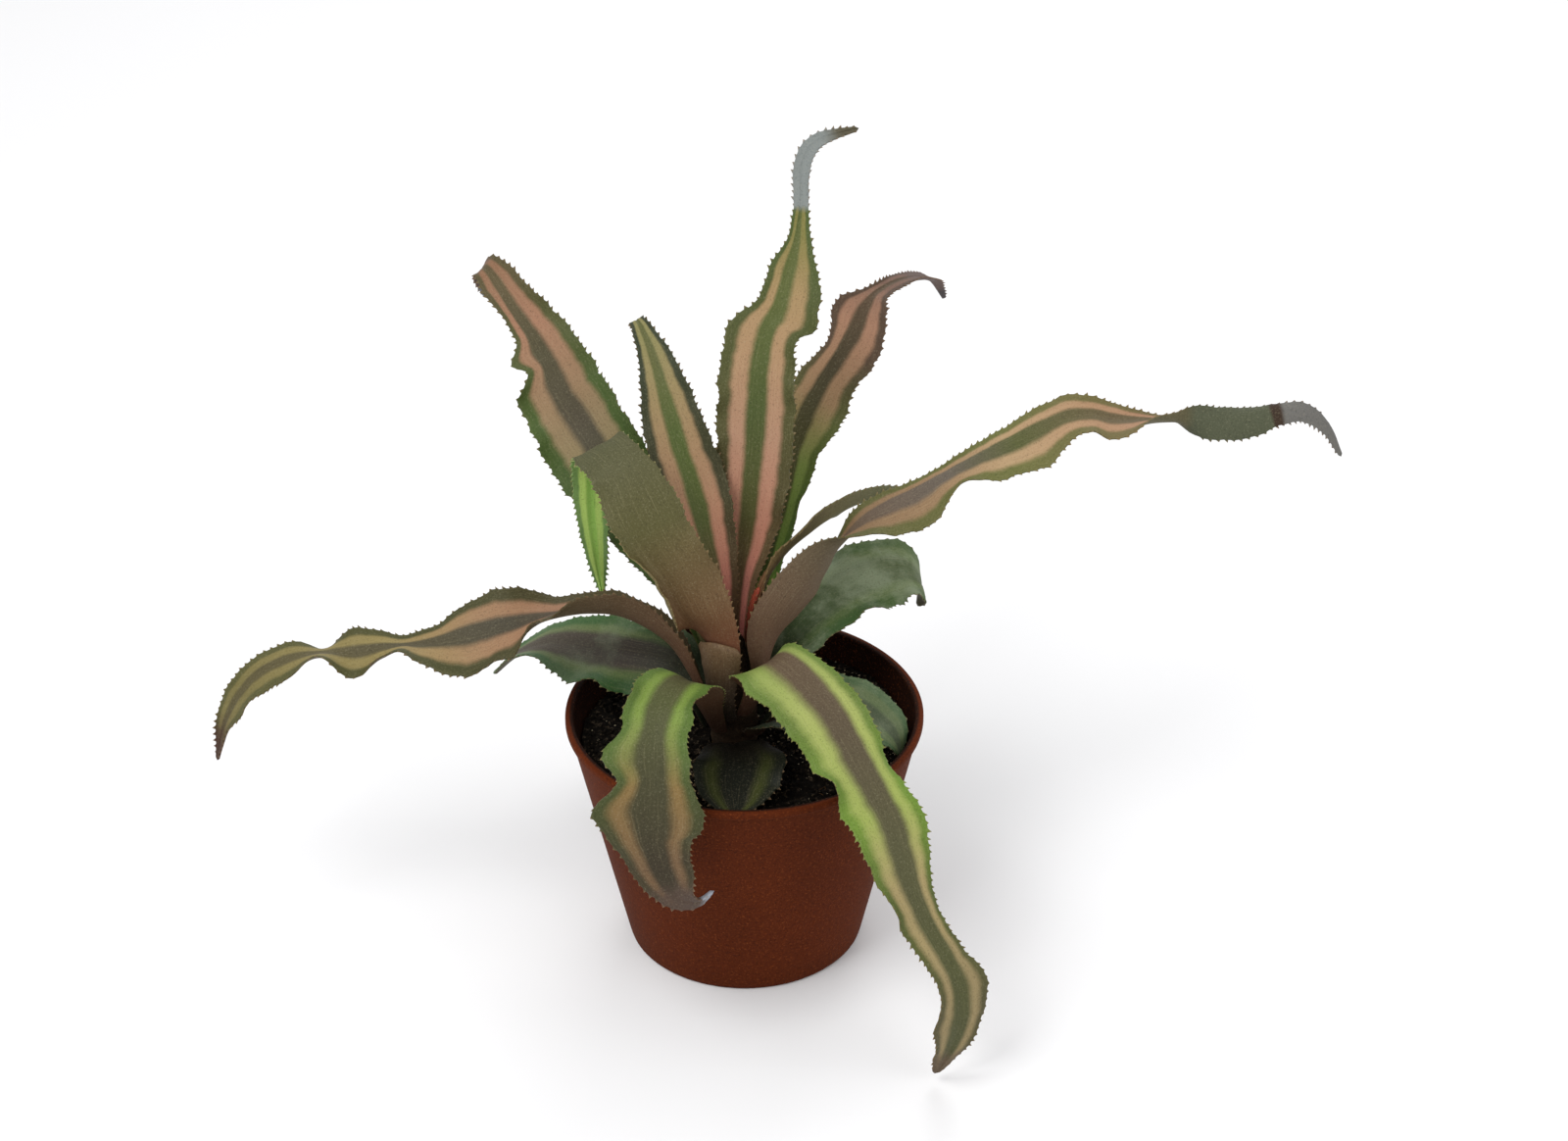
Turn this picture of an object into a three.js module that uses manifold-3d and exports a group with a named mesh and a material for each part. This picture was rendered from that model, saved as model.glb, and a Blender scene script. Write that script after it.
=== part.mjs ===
// Earth star bromeliad (Cryptanthus) in its small plastic nursery pot.
// Millimetres, +Z up. The origin is the middle of the pot's underside, on the surface that it stands on.
// Seen along +Y, the long leaves reach left (-X) and right (+X) and two leaves hang over the near rim.
import * as THREE from "three";
import { mergeVertices } from "three/addons/utils/BufferGeometryUtils.js";
import Module from "manifold-3d";

// Driving dimensions: the pot
const POT_HEIGHT = 76;
const RIM_RADIUS = 52.5;
const BASE_RADIUS = 35.5;
const WALL = 1.4;
const LIP_HEIGHT = 2.5;
const LIP_PROUD = 1.1;
const LIP_ROUND = 0.7;
const BEVEL = 1;
const FLOOR_LIFT = 1.5;
const FLOOR_THICKNESS = 1.6;
const FOOT_WIDTH = 5;
const FOOT_STEP = 2;
const PAD_RADIUS = 9;
const DRAIN_COUNT = 6;
const DRAIN_RADIUS = 3.5;
const DRAIN_CIRCLE = 20;
const DRAIN_SIDES = 12;
const ROUND_SIDES = 48;

// Driving dimensions: the soil and the stem
const SOIL_LEVEL = 67;
const SOIL_FLOOR = 3.5;
const SOIL_RINGS = 7;
const CLUMP_HEIGHT = 1.1;
const GAP = 0.3;
const STEM_FOOT = 50;
const STEM_TOP = 104;
const STEM_RADIUS = 7;
const STEM_SHOULDER = 72;
const STEM_X = -3;
const STEM_Y = -1;
const STEM_ROUNDING = 0.93;
const STEM_SIDES = 18;
const STEM_RINGS = 12;
const SCAR_DEPTH = 0.4;

// Driving dimensions: the leaf blades
const MIDRIB_THICKNESS = 1.4;
const MARGIN_THICKNESS = 0.7;
const RING_PITCH = 4.5;
const TOOTH_LENGTH = 1.3;
const TOOTH_LEAN = 0.7;
const TEETH_START = 0.14;
const STRIPS = [0, 0.45, 1];
const SPLINE_STEPS = 24;
const LEAST_RINGS = 6;
const FRILL_FROM = 0.3;

// Corners nearer than this are one corner
const WELD = 1e-4;

// Each leaf is a row of stations from its base on the stem out to its tip.
// Station: x, y, z of the midrib, half width on the left and on the right (seen from the base),
// roll of the blade about the midrib and cup of its two sides, in degrees.
// Ruffles, left and right: place along the leaf (0 to 1) and the angle at which the margin lifts there.
const LEAVES = {
  leaf_long_left: {
    stations: [
      [-11.2, -2.4, 76, 3.5, 3.5, 0, 45], [-13, -2.8, 84, 4.5, 4.5, 0, 45], [-15.5, -3, 91, 6, 6, 0, 48],
      [-22, -1.2, 101, 9, 9, 2, 55], [-34, 0, 108.5, 12, 12, 12, 60], [-45, 0, 110, 12, 12, 12, 50],
      [-57, 0, 108, 13, 11.5, 0, 30], [-68, 0, 105.5, 13, 12, -38, 10],
      [-79, 0, 102.5, 14.5, 10, -50, 10], [-88, 0, 100, 12, 6, -35, 14], [-94, 0, 98.5, 9, 5.5, -18, 22],
      [-99, 0, 98, 7, 5.5, -2, 25], [-105, 0, 97.5, 8.5, 6, -28, 18], [-113, 0, 96, 8.7, 7.5, -50, 10],
      [-122, 0, 95.5, 7.8, 6, 0, 20], [-131, 0, 94, 7.5, 6, -30, 15], [-140, 0, 89.5, 7, 5, -50, 20],
      [-147, 0, 82, 6, 4.8, -55, 25], [-152, 0, 72, 4, 3.8, -55, 35], [-156, 0, 58, 0.6, 0.6, -45, 40],
    ],
    left: [[0.2, 0], [0.34, -20], [0.44, 20], [0.54, -20], [0.64, 20], [0.76, -15], [0.86, 0]],
    right: [[0.3, 0], [0.4, 25], [0.5, -20], [0.58, 20], [0.7, -20], [0.82, 0]],
  },
  leaf_long_right: {
    stations: [
      [5.2, -1, 84, 4, 3.8, 0, 38], [6.8, -1.5, 96, 7, 7, -10, 42], [9, -2, 106, 8, 8.5, -40, 35],
      [14, -1.5, 115, 8, 8.5, -50, 35], [20.5, 0.5, 123, 8, 8.5, -40, 35],
      [28, 3, 131.5, 6.5, 8.5, -5, 38], [34.5, 4, 138, 5.5, 9, 30, 32],
      [41.5, 5, 142.5, 4.5, 11.5, 45, 12], [50, 6, 147, 3.5, 13.5, 45, 10],
      [58, 7, 151.5, 3.5, 9.5, 42, 16], [66, 7.5, 156, 4.5, 9.2, 42, 16], [75, 8, 161, 5, 12, 46, 10],
      [83, 9, 165, 6, 12.5, 50, 6], [91, 10, 168, 7.5, 8, 46, 10], [98, 11, 168.5, 6, 8, 45, 18],
      [105, 11, 167, 5.5, 8.5, 40, 25], [113, 12, 166, 4, 6, 18, 38], [121, 12.5, 166, 3, 3.5, -15, 42],
      [128, 13.5, 165.5, 5, 4, -75, 36], [136, 14, 164.5, 5.2, 4.5, -108, 30],
      [144, 15, 164.5, 4.8, 4.3, -110, 30], [151, 16, 166, 3.4, 3.2, -110, 30],
      [159, 17, 166, 2.8, 2.8, -110, 30], [166, 18, 160.5, 2, 2, -110, 30],
      [171, 18, 151, 0.6, 0.6, -110, 30],
    ],
    left: [[0.25, 0], [0.34, 25], [0.42, 15], [0.48, 25], [0.6, 0]],
    right: [[0.25, 0], [0.34, -15], [0.42, 20], [0.5, -10], [0.62, 0]],
  },
  leaf_back_left: {
    stations: [
      [-8.5, 4.4, 84, 3, 4.5, 0, 45], [-11, 8, 96, 4.5, 8, 0, 38], [-14.5, 12.5, 107, 8, 9, -10, 30],
      [-20, 18, 116, 10, 10, -20, 25], [-30, 26, 127.5, 12.5, 11.5, -30, 15],
      [-41, 34.5, 142, 15.2, 12.2, -35, 10], [-48, 41, 150, 14.4, 13, -35, 10],
      [-53, 45, 156, 12.8, 13, -35, 10], [-55.4, 47.6, 160, 12, 12.6, -35, 10],
      [-57.8, 50, 163.8, 6, 12.2, -35, 10], [-59.8, 52.2, 167, 9.4, 11.4, -35, 10],
      [-62.6, 54.8, 171, 4.8, 10.2, -35, 10], [-67.5, 59, 176.5, 3.6, 9, -35, 15],
      [-72, 64.3, 182.4, 5, 6.6, -35, 20], [-76, 71, 184.5, 4, 4.5, -35, 20], [-78, 75, 180, 3, 3, -35, 25],
      [-77, 77, 172, 0.6, 0.6, -35, 25],
    ],
    left: [[0.3, 0], [0.5, 0], [0.56, 20], [0.62, -10], [0.68, 25], [0.73, -20], [0.8, 0]],
    right: [[0.3, 0], [0.42, -20], [0.55, 10], [0.68, -15], [0.8, 0]],
  },
  leaf_slim_upright: {
    stations: [
      [-5.9, 4.2, 96, 3.2, 3.2, 0, 42], [-7, 5.8, 106, 5, 5, 0, 42], [-8, 7, 116, 7, 6.5, -5, 36],
      [-10.8, 8.2, 129, 8.8, 8.8, -12, 26], [-14, 11, 143, 9.8, 10, -18, 18],
      [-18, 15, 155.5, 9.8, 9.4, -22, 15], [-22.5, 21.5, 169, 6.8, 7.6, -25, 15],
      [-25, 27, 176, 4.6, 5.8, -25, 20], [-28, 33, 182, 3.2, 3.4, -25, 25],
      [-30.5, 39, 183.5, 2, 2, -25, 25], [-31, 44, 177, 0.6, 0.6, -25, 30],
    ],
    left: [[0.3, 0], [0.5, 15], [0.7, -10], [0.85, 0]],
    right: [[0.3, 0], [0.45, -15], [0.6, 15], [0.75, -10], [0.9, 0]],
  },
  leaf_tall_centre: {
    stations: [
      [-2.8, 5.9, 92, 4, 4, 0, 42], [-2.2, 8.8, 104, 6, 4.5, 0, 36], [-1.2, 12.5, 114, 7, 5.5, 0, 28],
      [0.5, 15.5, 125.5, 8.5, 8.5, 0, 20], [2, 15.5, 143, 9.5, 11, 0, 14],
      [3.5, 17, 159, 11.2, 11, 0, 10], [4.5, 20, 174, 11.5, 10.4, 0, 10],
      [5.4, 22.6, 181, 11.4, 9.4, 0, 10], [7, 25.6, 187.5, 10.8, 9, 0, 10],
      [8.8, 28, 191.5, 6.8, 12.8, 0, 10], [10.4, 30, 195.2, 5.6, 12.4, 0, 12],
      [12.8, 35, 202, 5.2, 9, 0, 15], [15, 40, 208.5, 2.6, 4.5, 0, 20], [16.2, 46, 214.5, 2, 2.4, 0, 30],
      [16.5, 50, 218, 2.2, 2.2, 0, 30], [17, 57, 225, 2.4, 2.5, 0, 30], [21.5, 61, 230, 2.2, 2.2, 0, 30],
      [33, 65, 232, 0.6, 0.6, 0, 30],
    ],
    left: [[0.3, 0], [0.45, 15], [0.55, -10], [0.62, 0], [0.7, 20], [0.76, 0]],
    right: [[0.25, 0], [0.35, -12], [0.45, -15], [0.56, -20], [0.63, 10], [0.72, -15], [0.8, 0]],
  },
  leaf_back_right: {
    stations: [
      [0.8, 6.2, 80, 4, 4, 0, 45], [2.8, 10, 93, 5.5, 5, 0, 40], [5, 15, 105, 7, 5, 0, 36],
      [7.5, 20.5, 117, 8, 5, 5, 28], [11.5, 28, 129.5, 9, 6, 8, 20], [14.5, 36, 143, 9.5, 8, 12, 12],
      [18, 42.5, 152, 8, 11, 15, 10], [23.5, 50, 159, 7.2, 10, 15, 10], [29, 57.5, 165.5, 5, 11, 15, 10],
      [33, 63.5, 169.5, 8.4, 9, 15, 14], [35.5, 68.5, 172.5, 8, 7, 15, 20],
      [38.5, 74, 174.5, 3.2, 4.2, 15, 22], [45, 83, 174, 2.8, 3, 12, 25], [52, 94, 170, 3, 3.2, 0, 30],
      [57, 102, 165, 2.6, 2.6, 0, 30], [61, 110, 155, 0.6, 0.6, 0, 30],
    ],
    left: [[0.3, 0], [0.5, 15], [0.6, -15], [0.68, 15], [0.8, 0]],
    right: [[0.2, 0], [0.3, 25], [0.4, 10], [0.47, -20], [0.55, 0], [0.64, 15], [0.72, 0]],
  },
  leaf_edge_on: {
    stations: [
      [2.7, 2.7, 92, 2.2, 2.2, 0, 36], [4, 3.3, 103, 2.8, 3, 0, 36], [4.8, 4.2, 112, 2.8, 3.4, -8, 30],
      [6.6, 4.6, 118.5, 3.5, 4.5, -25, 25], [10, 6.4, 123.5, 4, 5.5, -40, 20],
      [15.8, 10, 128.5, 5.5, 6.5, -50, 15], [24.9, 17.5, 132, 6, 6.5, -50, 15],
      [34.4, 25, 132.6, 6, 6, -40, 15], [43, 31, 130.5, 5, 5, -25, 15], [50, 36, 125, 3.5, 3.5, 0, 15],
      [55, 39, 117, 0.6, 0.6, 0, 20],
    ],
    left: [[0.3, 0], [0.55, 15], [0.75, -15], [0.9, 0]],
    right: [[0.3, 0], [0.5, -15], [0.7, 15], [0.9, 0]],
  },
  leaf_low_right: {
    stations: [
      [3.6, 4.6, 72, 3.5, 3.5, 0, 42], [8, 8, 84, 7, 7, 0, 38], [15, 13, 94.5, 10.5, 10.5, 3, 22],
      [25, 20.5, 101, 12, 12, 10, 10], [34, 26.5, 104.5, 12.5, 13, 14, 5], [43, 30.5, 105.5, 12, 12.5, 14, 5],
      [49, 32.2, 103.5, 11.5, 10.5, 12, 6], [52, 33, 99.5, 9.5, 7.5, 8, 10],
      [52.4, 33.2, 95, 6.5, 4.5, 0, 15], [51.5, 33.2, 91, 0.6, 0.6, 0, 20],
    ],
    left: [[0.25, 0], [0.45, 25], [0.6, -20], [0.8, 0]],
    right: [[0.25, 0], [0.4, -25], [0.55, 30], [0.7, -20], [0.85, 0]],
  },
  leaf_low_left: {
    stations: [
      [-11.1, 1.2, 71, 4, 4, 0, 40], [-15, 3.3, 80.5, 7.5, 6, 0, 32], [-22, 8, 86.5, 12, 12, -15, 15],
      [-34, 13, 87, 14, 12, -20, 10], [-46, 18, 86, 14, 12, -20, 10], [-58, 23, 84, 8.5, 10, -10, 15],
      [-68, 27, 78, 5, 6, 0, 20], [-76, 30, 69, 0.6, 0.6, 0, 20],
    ],
    left: [[0.22, 0], [0.34, -40], [0.46, 15], [0.58, -35], [0.72, 15], [0.85, 0]],
    right: [[0.25, 0], [0.45, 15], [0.6, -15], [0.8, 0]],
  },
  leaf_low_back: {
    stations: [
      [-4.5, 7.6, 71, 3.8, 3.5, 0, 38], [-4.6, 12.5, 86, 6, 7.5, 0, 32],
      [-5, 22.5, 98.5, 10.5, 10.5, 0, 17], [-6, 36, 104, 12, 12, 0, 10], [-8, 51, 100.5, 12, 12, 5, 10],
      [-9, 64, 92, 9, 9, 5, 15], [-9, 73, 82, 5, 5, 0, 20], [-9, 79, 71, 0.6, 0.6, 0, 20],
    ],
    left: [[0.25, 0], [0.4, 25], [0.55, -25], [0.7, 20], [0.85, 0]],
    right: [[0.25, 0], [0.35, -20], [0.5, 25], [0.65, -20], [0.8, 0]],
  },
  leaf_front_left: {
    stations: [
      [-7.9, -8, 74, 3.2, 3.5, 0, 42], [-11.2, -13.2, 86, 5.5, 5.5, 0, 34], [-14, -19, 97, 9, 8.5, 0, 26],
      [-18, -28, 104, 9.2, 8.8, 0, 16], [-22.5, -38.5, 103.5, 10, 10, -4, 11],
      [-24.5, -46, 99, 9.4, 9.6, -7, 10], [-25, -50, 94.5, 10.2, 13.8, -9, 10],
      [-25, -54.2, 87.5, 11.5, 10.2, -10, 10], [-25.3, -57.4, 81.5, 14, 16, -10, 10],
      [-25.3, -59.2, 77, 15, 15, -10, 11], [-25, -61, 71.5, 11.5, 10, -10, 13],
      [-22.5, -62, 63.5, 8.8, 7.6, -5, 18], [-18.5, -62.5, 55.5, 7, 5, 8, 25],
      [-13, -61.5, 52.5, 4.5, 3.5, 20, 30], [-8, -60, 55, 0.6, 0.6, 40, 30],
    ],
    left: [[0.3, 0], [0.42, 30], [0.5, -20], [0.58, 30], [0.7, -20], [0.85, 10]],
    right: [[0.3, -20], [0.42, 30], [0.5, -30], [0.62, 20], [0.75, -30], [0.85, 10]],
  },
  leaf_front_right: {
    stations: [
      [0.9, -8, 80, 3.6, 3.4, 0, 40], [3.5, -11.5, 91, 7, 4, 0, 38], [6, -15, 100.5, 8, 12, 8, 24],
      [10.5, -18.5, 106, 6.5, 17, 20, 14], [15.5, -23, 105.5, 6.5, 18, 22, 8],
      [21.5, -29.5, 101.5, 8.5, 16, 20, 8], [27.5, -37, 96, 9, 15.5, 18, 10],
      [32, -44, 90.5, 8.5, 15, 18, 10], [37, -51, 84, 8, 13.5, 20, 10], [42, -58, 76, 9.5, 12, 20, 10],
      [45, -63.5, 68, 8, 11.5, 20, 10], [48.5, -68.5, 59, 5.5, 10, 20, 10],
      [53, -72.5, 50, 4.8, 7.5, 20, 10], [57.5, -75.5, 42, 6, 6.5, 20, 10],
      [60.5, -78, 33.5, 9.5, 6.5, 20, 10], [61, -79, 24, 7.2, 8.6, 25, 12],
      [58.5, -78, 13, 5, 5.5, 30, 15], [54.5, -77, 3, 0.8, 0.8, 30, 20],
    ],
    left: [[0.25, 0], [0.33, 25], [0.42, -20], [0.52, 25], [0.63, -20], [0.72, 15], [0.85, -10]],
    right: [[0.25, 0], [0.33, -25], [0.42, 25], [0.5, -20], [0.62, 25], [0.72, -15], [0.85, 10]],
  },
  leaf_short_front: {
    stations: [
      [-5.3, -9.4, 79, 3.4, 3.4, 0, 38], [-6.9, -12.2, 88, 4.4, 4.4, 0, 40], [-8, -12.8, 96, 6.9, 7, 0, 44],
      [-8.2, -12.4, 102, 7.6, 7.6, 0, 42], [-8.2, -11.8, 105, 6.4, 6.4, 0, 38],
      [-8.2, -11.4, 106.6, 0.6, 0.6, 0, 34],
    ],
    left: [[0.5, 0]],
    right: [[0.5, 0]],
  },
  leaf_arched: {
    stations: [
      [-5.4, -8, 89, 2.8, 2.8, 0, 34], [-6.2, -8.6, 98, 6, 6, 5, 42], [-8.8, -9.4, 108, 8, 8, 20, 30],
      [-13, -11, 117.5, 10, 10.5, 40, 18], [-17.5, -11, 129, 10, 10.5, 52, 12],
      [-23, -9.5, 138, 10, 10.5, 60, 10], [-28.5, -6.5, 149.5, 10, 10.5, 65, 10],
      [-31.8, -2.5, 156, 8, 10, 65, 10], [-35.5, 2, 159.5, 7, 9.5, 70, 10],
      [-40, 8, 159.5, 7, 8.6, 78, 10], [-43, 13, 153.5, 6.5, 6.4, 104, 10],
      [-44, 15, 136, 5, 4.4, 124, 10], [-43, 16, 120, 3.4, 3, 130, 10],
      [-41.5, 17, 105, 0.6, 0.6, 130, 10],
    ],
    left: [[0.2, 0]],
    right: [[0.12, 0], [0.2, -132], [0.31, -146], [0.41, -50], [0.48, 0]],
  },
  leaf_on_soil_front: {
    stations: [
      [-3.2, -9.5, 70, 3.5, 3.5, 0, 30], [-2.2, -16.5, 73.5, 10, 10, 0, 10], [-1, -26, 75, 13, 13, 0, 0],
      [-2, -34, 73, 12, 12, 0, 0], [-2, -41, 71, 7, 7, 0, 0], [-2, -46, 70, 0.6, 0.6, 0, 0],
    ],
    left: [[0.3, 0], [0.5, 20], [0.7, 0]],
    right: [[0.3, 0], [0.6, 20], [0.8, 0]],
  },
  leaf_small_front: {
    stations: [
      [2, -8.5, 72.4, 2.2, 2, 0, 36], [4.6, -12.6, 78, 3, 4.5, 0, 20], [8.5, -16, 82, 4.5, 5.5, 0, 5],
      [12.5, -18.5, 82.5, 4, 4, 0, 5], [16.5, -21, 80, 0.6, 0.6, 0, 5],
    ],
    left: [[0.4, 0]],
    right: [[0.4, 0]],
  },
  leaf_low_front_right: {
    stations: [
      [4.9, -3.8, 71, 3.5, 3, 0, 42], [11, -5.3, 80, 6.5, 4.5, 0, 32], [18, -7, 85, 9, 7.5, 0, 20],
      [27, -9, 86, 11, 11, 0, 10], [36, -11.5, 83, 11, 11, 5, 5], [43, -14, 77, 8, 8, 5, 10],
      [45, -17, 71, 0.6, 0.6, 0, 10],
    ],
    left: [[0.3, 0], [0.5, 20], [0.7, -10], [0.85, 0]],
    right: [[0.3, 0], [0.55, -15], [0.75, 10], [0.9, 0]],
  },
  leaf_heart: {
    stations: [
      [1.2, -0.8, 100, 1.4, 1.4, 0, 38], [2, -0.5, 107, 1.6, 1.3, 0, 34],
      [3, -0.3, 113, 1.6, 1.2, 0, 34], [4.5, -0.3, 118.5, 0.6, 0.6, 0, 34],
    ],
    left: [[0.5, 0]],
    right: [[0.5, 0]],
  },
};

const COLOURS = {
  pot: 0x8a4a2f,
  soil: 0x2b221b,
  stem: 0x4a3a22,
  long: 0x8a7a55,
  upright: 0x7c8450,
  low: 0x5f7d4a,
  heart: 0xa2543a,
};

const rad = (degrees) => (degrees * Math.PI) / 180;

// Solids: what a boolean needs, and a mesh back from it
const wasm = await Module();
wasm.setup();

function toSolid(geometry) {
  const bare = geometry.clone();
  bare.deleteAttribute("normal");
  bare.deleteAttribute("uv");
  const merged = mergeVertices(bare, WELD);
  return new wasm.Manifold(
    new wasm.Mesh({
      numProp: 3,
      vertProperties: Float32Array.from(merged.attributes.position.array),
      triVerts: Uint32Array.from(merged.index.array),
    }),
  );
}

function fromSolid(solid) {
  const mesh = solid.getMesh();
  const geometry = new THREE.BufferGeometry();
  geometry.setAttribute("position", new THREE.BufferAttribute(Float32Array.from(mesh.vertProperties), 3));
  geometry.setIndex(new THREE.BufferAttribute(Uint32Array.from(mesh.triVerts), 1));
  return geometry;
}

// A geometry from a list of corner points and a list of triangles
function shell(points, triangles) {
  const geometry = new THREE.BufferGeometry();
  geometry.setAttribute("position", new THREE.Float32BufferAttribute(points.flatMap((p) => p.toArray()), 3));
  geometry.setIndex(triangles.flat());
  return geometry;
}

// A turned shape about the Z axis, from a closed run of [radius, height] points
function turned(profile, sides) {
  const lathe = new THREE.LatheGeometry(profile.map(([r, h]) => new THREE.Vector2(r, h)), sides);
  return lathe.rotateX(Math.PI / 2);
}

// The pot's outer wall: straight taper from the foot step to the underside of the lip
function wallRadius(z) {
  const top = POT_HEIGHT - LIP_HEIGHT;
  return BASE_RADIUS + ((RIM_RADIUS - LIP_PROUD - BASE_RADIUS) * (z - FOOT_STEP)) / (top - FOOT_STEP);
}

// Thin-walled pot: rolled lip, tapered wall, foot ring, a lifted floor with drain holes and a middle pad
function makePot() {
  const lipBottom = POT_HEIGHT - LIP_HEIGHT;
  const floorTop = FLOOR_LIFT + FLOOR_THICKNESS;
  const footInner = BASE_RADIUS - FOOT_WIDTH;
  const mouth = RIM_RADIUS - LIP_PROUD - WALL;
  const innerAt = (z) => wallRadius(z) - WALL;
  const profile = [
    [0, 0], [PAD_RADIUS, 0], [PAD_RADIUS + BEVEL, FLOOR_LIFT], [footInner - BEVEL, FLOOR_LIFT],
    [footInner, 0], [BASE_RADIUS - BEVEL, 0], [BASE_RADIUS - 0.4 * BEVEL, 0.6 * BEVEL],
    [BASE_RADIUS, FOOT_STEP],
    [wallRadius(lipBottom), lipBottom], [RIM_RADIUS - 0.3 * LIP_ROUND, lipBottom + 0.3 * LIP_ROUND],
    [RIM_RADIUS, lipBottom + LIP_ROUND], [RIM_RADIUS, POT_HEIGHT - LIP_ROUND],
    [RIM_RADIUS - LIP_ROUND, POT_HEIGHT], [mouth + LIP_ROUND, POT_HEIGHT], [mouth, POT_HEIGHT - LIP_ROUND],
    [mouth, lipBottom], [innerAt(floorTop + BEVEL), floorTop + BEVEL],
    [innerAt(floorTop + BEVEL) - BEVEL, floorTop], [0, floorTop],
  ];
  let pot = toSolid(turned(profile, ROUND_SIDES));
  for (let i = 0; i < DRAIN_COUNT; i += 1) {
    const angle = (2 * Math.PI * i) / DRAIN_COUNT;
    const drill = new THREE.CylinderGeometry(DRAIN_RADIUS, DRAIN_RADIUS, 4 * FLOOR_THICKNESS, DRAIN_SIDES);
    drill.rotateX(Math.PI / 2);
    drill.translate(DRAIN_CIRCLE * Math.cos(angle), DRAIN_CIRCLE * Math.sin(angle), floorTop);
    pot = pot.subtract(toSolid(drill));
  }
  return fromSolid(pot);
}

// The clumpy top of the soil: long low swells with shorter lumps on them
function soilHeight(x, y) {
  const swell = Math.sin(0.11 * x + 0.8) + Math.cos(0.13 * y - 0.4);
  const lumps = Math.sin(0.47 * x - 0.31 * y) + Math.cos(0.39 * x + 0.52 * y + 1.1);
  return SOIL_LEVEL + CLUMP_HEIGHT * (0.45 * swell + 0.3 * lumps);
}

// The stem's radius at a height: straight in the soil, then tapering to a blunt top
function stemRadius(z) {
  const t = Math.max(0, (z - STEM_SHOULDER) / (STEM_TOP - STEM_SHOULDER));
  return STEM_RADIUS * Math.sqrt(1 - STEM_ROUNDING * t ** 1.5);
}

// Potting soil: fills the pot to a finger below the lip, with a plain hole for the stem
function makeSoil() {
  const holeRadius = STEM_RADIUS + GAP;
  const holeFloor = STEM_FOOT - GAP;
  const wallAt = (z) => wallRadius(z) - WALL - GAP;
  const edge = wallAt(SOIL_LEVEL) - CLUMP_HEIGHT / 2;
  const rows = [{ radius: holeRadius, shift: 1, height: () => holeFloor }];
  for (let i = 0; i <= SOIL_RINGS; i += 1) {
    const radius = holeRadius + ((edge - holeRadius) * i) / SOIL_RINGS;
    rows.push({ radius, shift: 1 - i / SOIL_RINGS, height: soilHeight });
  }
  rows.push({ radius: wallAt(SOIL_FLOOR + 1) - 1, shift: 0, height: () => SOIL_FLOOR });
  const points = [];
  for (const { radius, shift, height } of rows) {
    for (let j = 0; j < ROUND_SIDES; j += 1) {
      const angle = (2 * Math.PI * j) / ROUND_SIDES;
      const x = shift * STEM_X + radius * Math.cos(angle);
      const y = shift * STEM_Y + radius * Math.sin(angle);
      points.push(new THREE.Vector3(x, y, height(x, y)));
    }
  }
  const last = rows.length - 1;
  const hub = points.push(new THREE.Vector3(STEM_X, STEM_Y, holeFloor)) - 1;
  const bottom = points.push(new THREE.Vector3(0, 0, SOIL_FLOOR)) - 1;
  const at = (row, j) => row * ROUND_SIDES + (j % ROUND_SIDES);
  const triangles = [];
  for (let j = 0; j < ROUND_SIDES; j += 1) {
    triangles.push([hub, at(0, j), at(0, j + 1)], [bottom, at(last, j + 1), at(last, j)]);
    for (let i = 0; i < last; i += 1) {
      triangles.push([at(i, j), at(i + 1, j), at(i + 1, j + 1)], [at(i, j), at(i + 1, j + 1), at(i, j + 1)]);
    }
  }
  return shell(points, triangles);
}

// Stem: a tapering stump ringed by the scars of shed leaves, a little off the pot's middle
function makeStem() {
  const profile = [[0, STEM_FOOT]];
  for (let i = 0; i <= STEM_RINGS; i += 1) {
    const z = STEM_FOOT + ((STEM_TOP - STEM_FOOT) * i) / STEM_RINGS;
    const scar = i % 2 ? SCAR_DEPTH : 0;
    profile.push([stemRadius(z) - scar, z]);
  }
  profile.push([0, STEM_TOP]);
  return turned(profile, STEM_SIDES).translate(STEM_X, STEM_Y, 0);
}

// A smooth run through the stations, sampled closely: uniform Catmull-Rom on all seven values
function smoothRun(stations) {
  const last = stations.length - 1;
  const ends = (a, b) => a.map((v, k) => 2 * v - b[k]);
  const run = [ends(stations[0], stations[1]), ...stations, ends(stations[last], stations[last - 1])];
  const samples = [];
  for (let i = 1; i <= last; i += 1) {
    const [a, b, c, d] = run.slice(i - 1, i + 3);
    for (let k = 0; k < SPLINE_STEPS; k += 1) {
      const t = k / SPLINE_STEPS;
      samples.push(b.map((_, m) => 0.5 * (2 * b[m] + (c[m] - a[m]) * t
        + (2 * a[m] - 5 * b[m] + 4 * c[m] - d[m]) * t * t
        + (3 * b[m] - a[m] - 3 * c[m] + d[m]) * t * t * t)));
    }
  }
  samples.push(stations[last]);
  return samples;
}

// The run again, at even steps along the midrib
function evenRun(stations, pitch) {
  const samples = smoothRun(stations);
  const along = [0];
  for (let i = 1; i < samples.length; i += 1) {
    const [a, b] = [samples[i - 1], samples[i]];
    along.push(along[i - 1] + Math.hypot(b[0] - a[0], b[1] - a[1], b[2] - a[2]));
  }
  const length = along[along.length - 1];
  const count = Math.max(LEAST_RINGS, Math.round(length / pitch));
  const rows = [];
  let i = 0;
  for (let n = 0; n <= count; n += 1) {
    const target = (length * n) / count;
    while (i < along.length - 2 && along[i + 1] < target) {
      i += 1;
    }
    const t = (target - along[i]) / (along[i + 1] - along[i]);
    rows.push(samples[i].map((v, k) => v + (samples[i + 1][k] - v) * t));
  }
  return rows;
}

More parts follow.
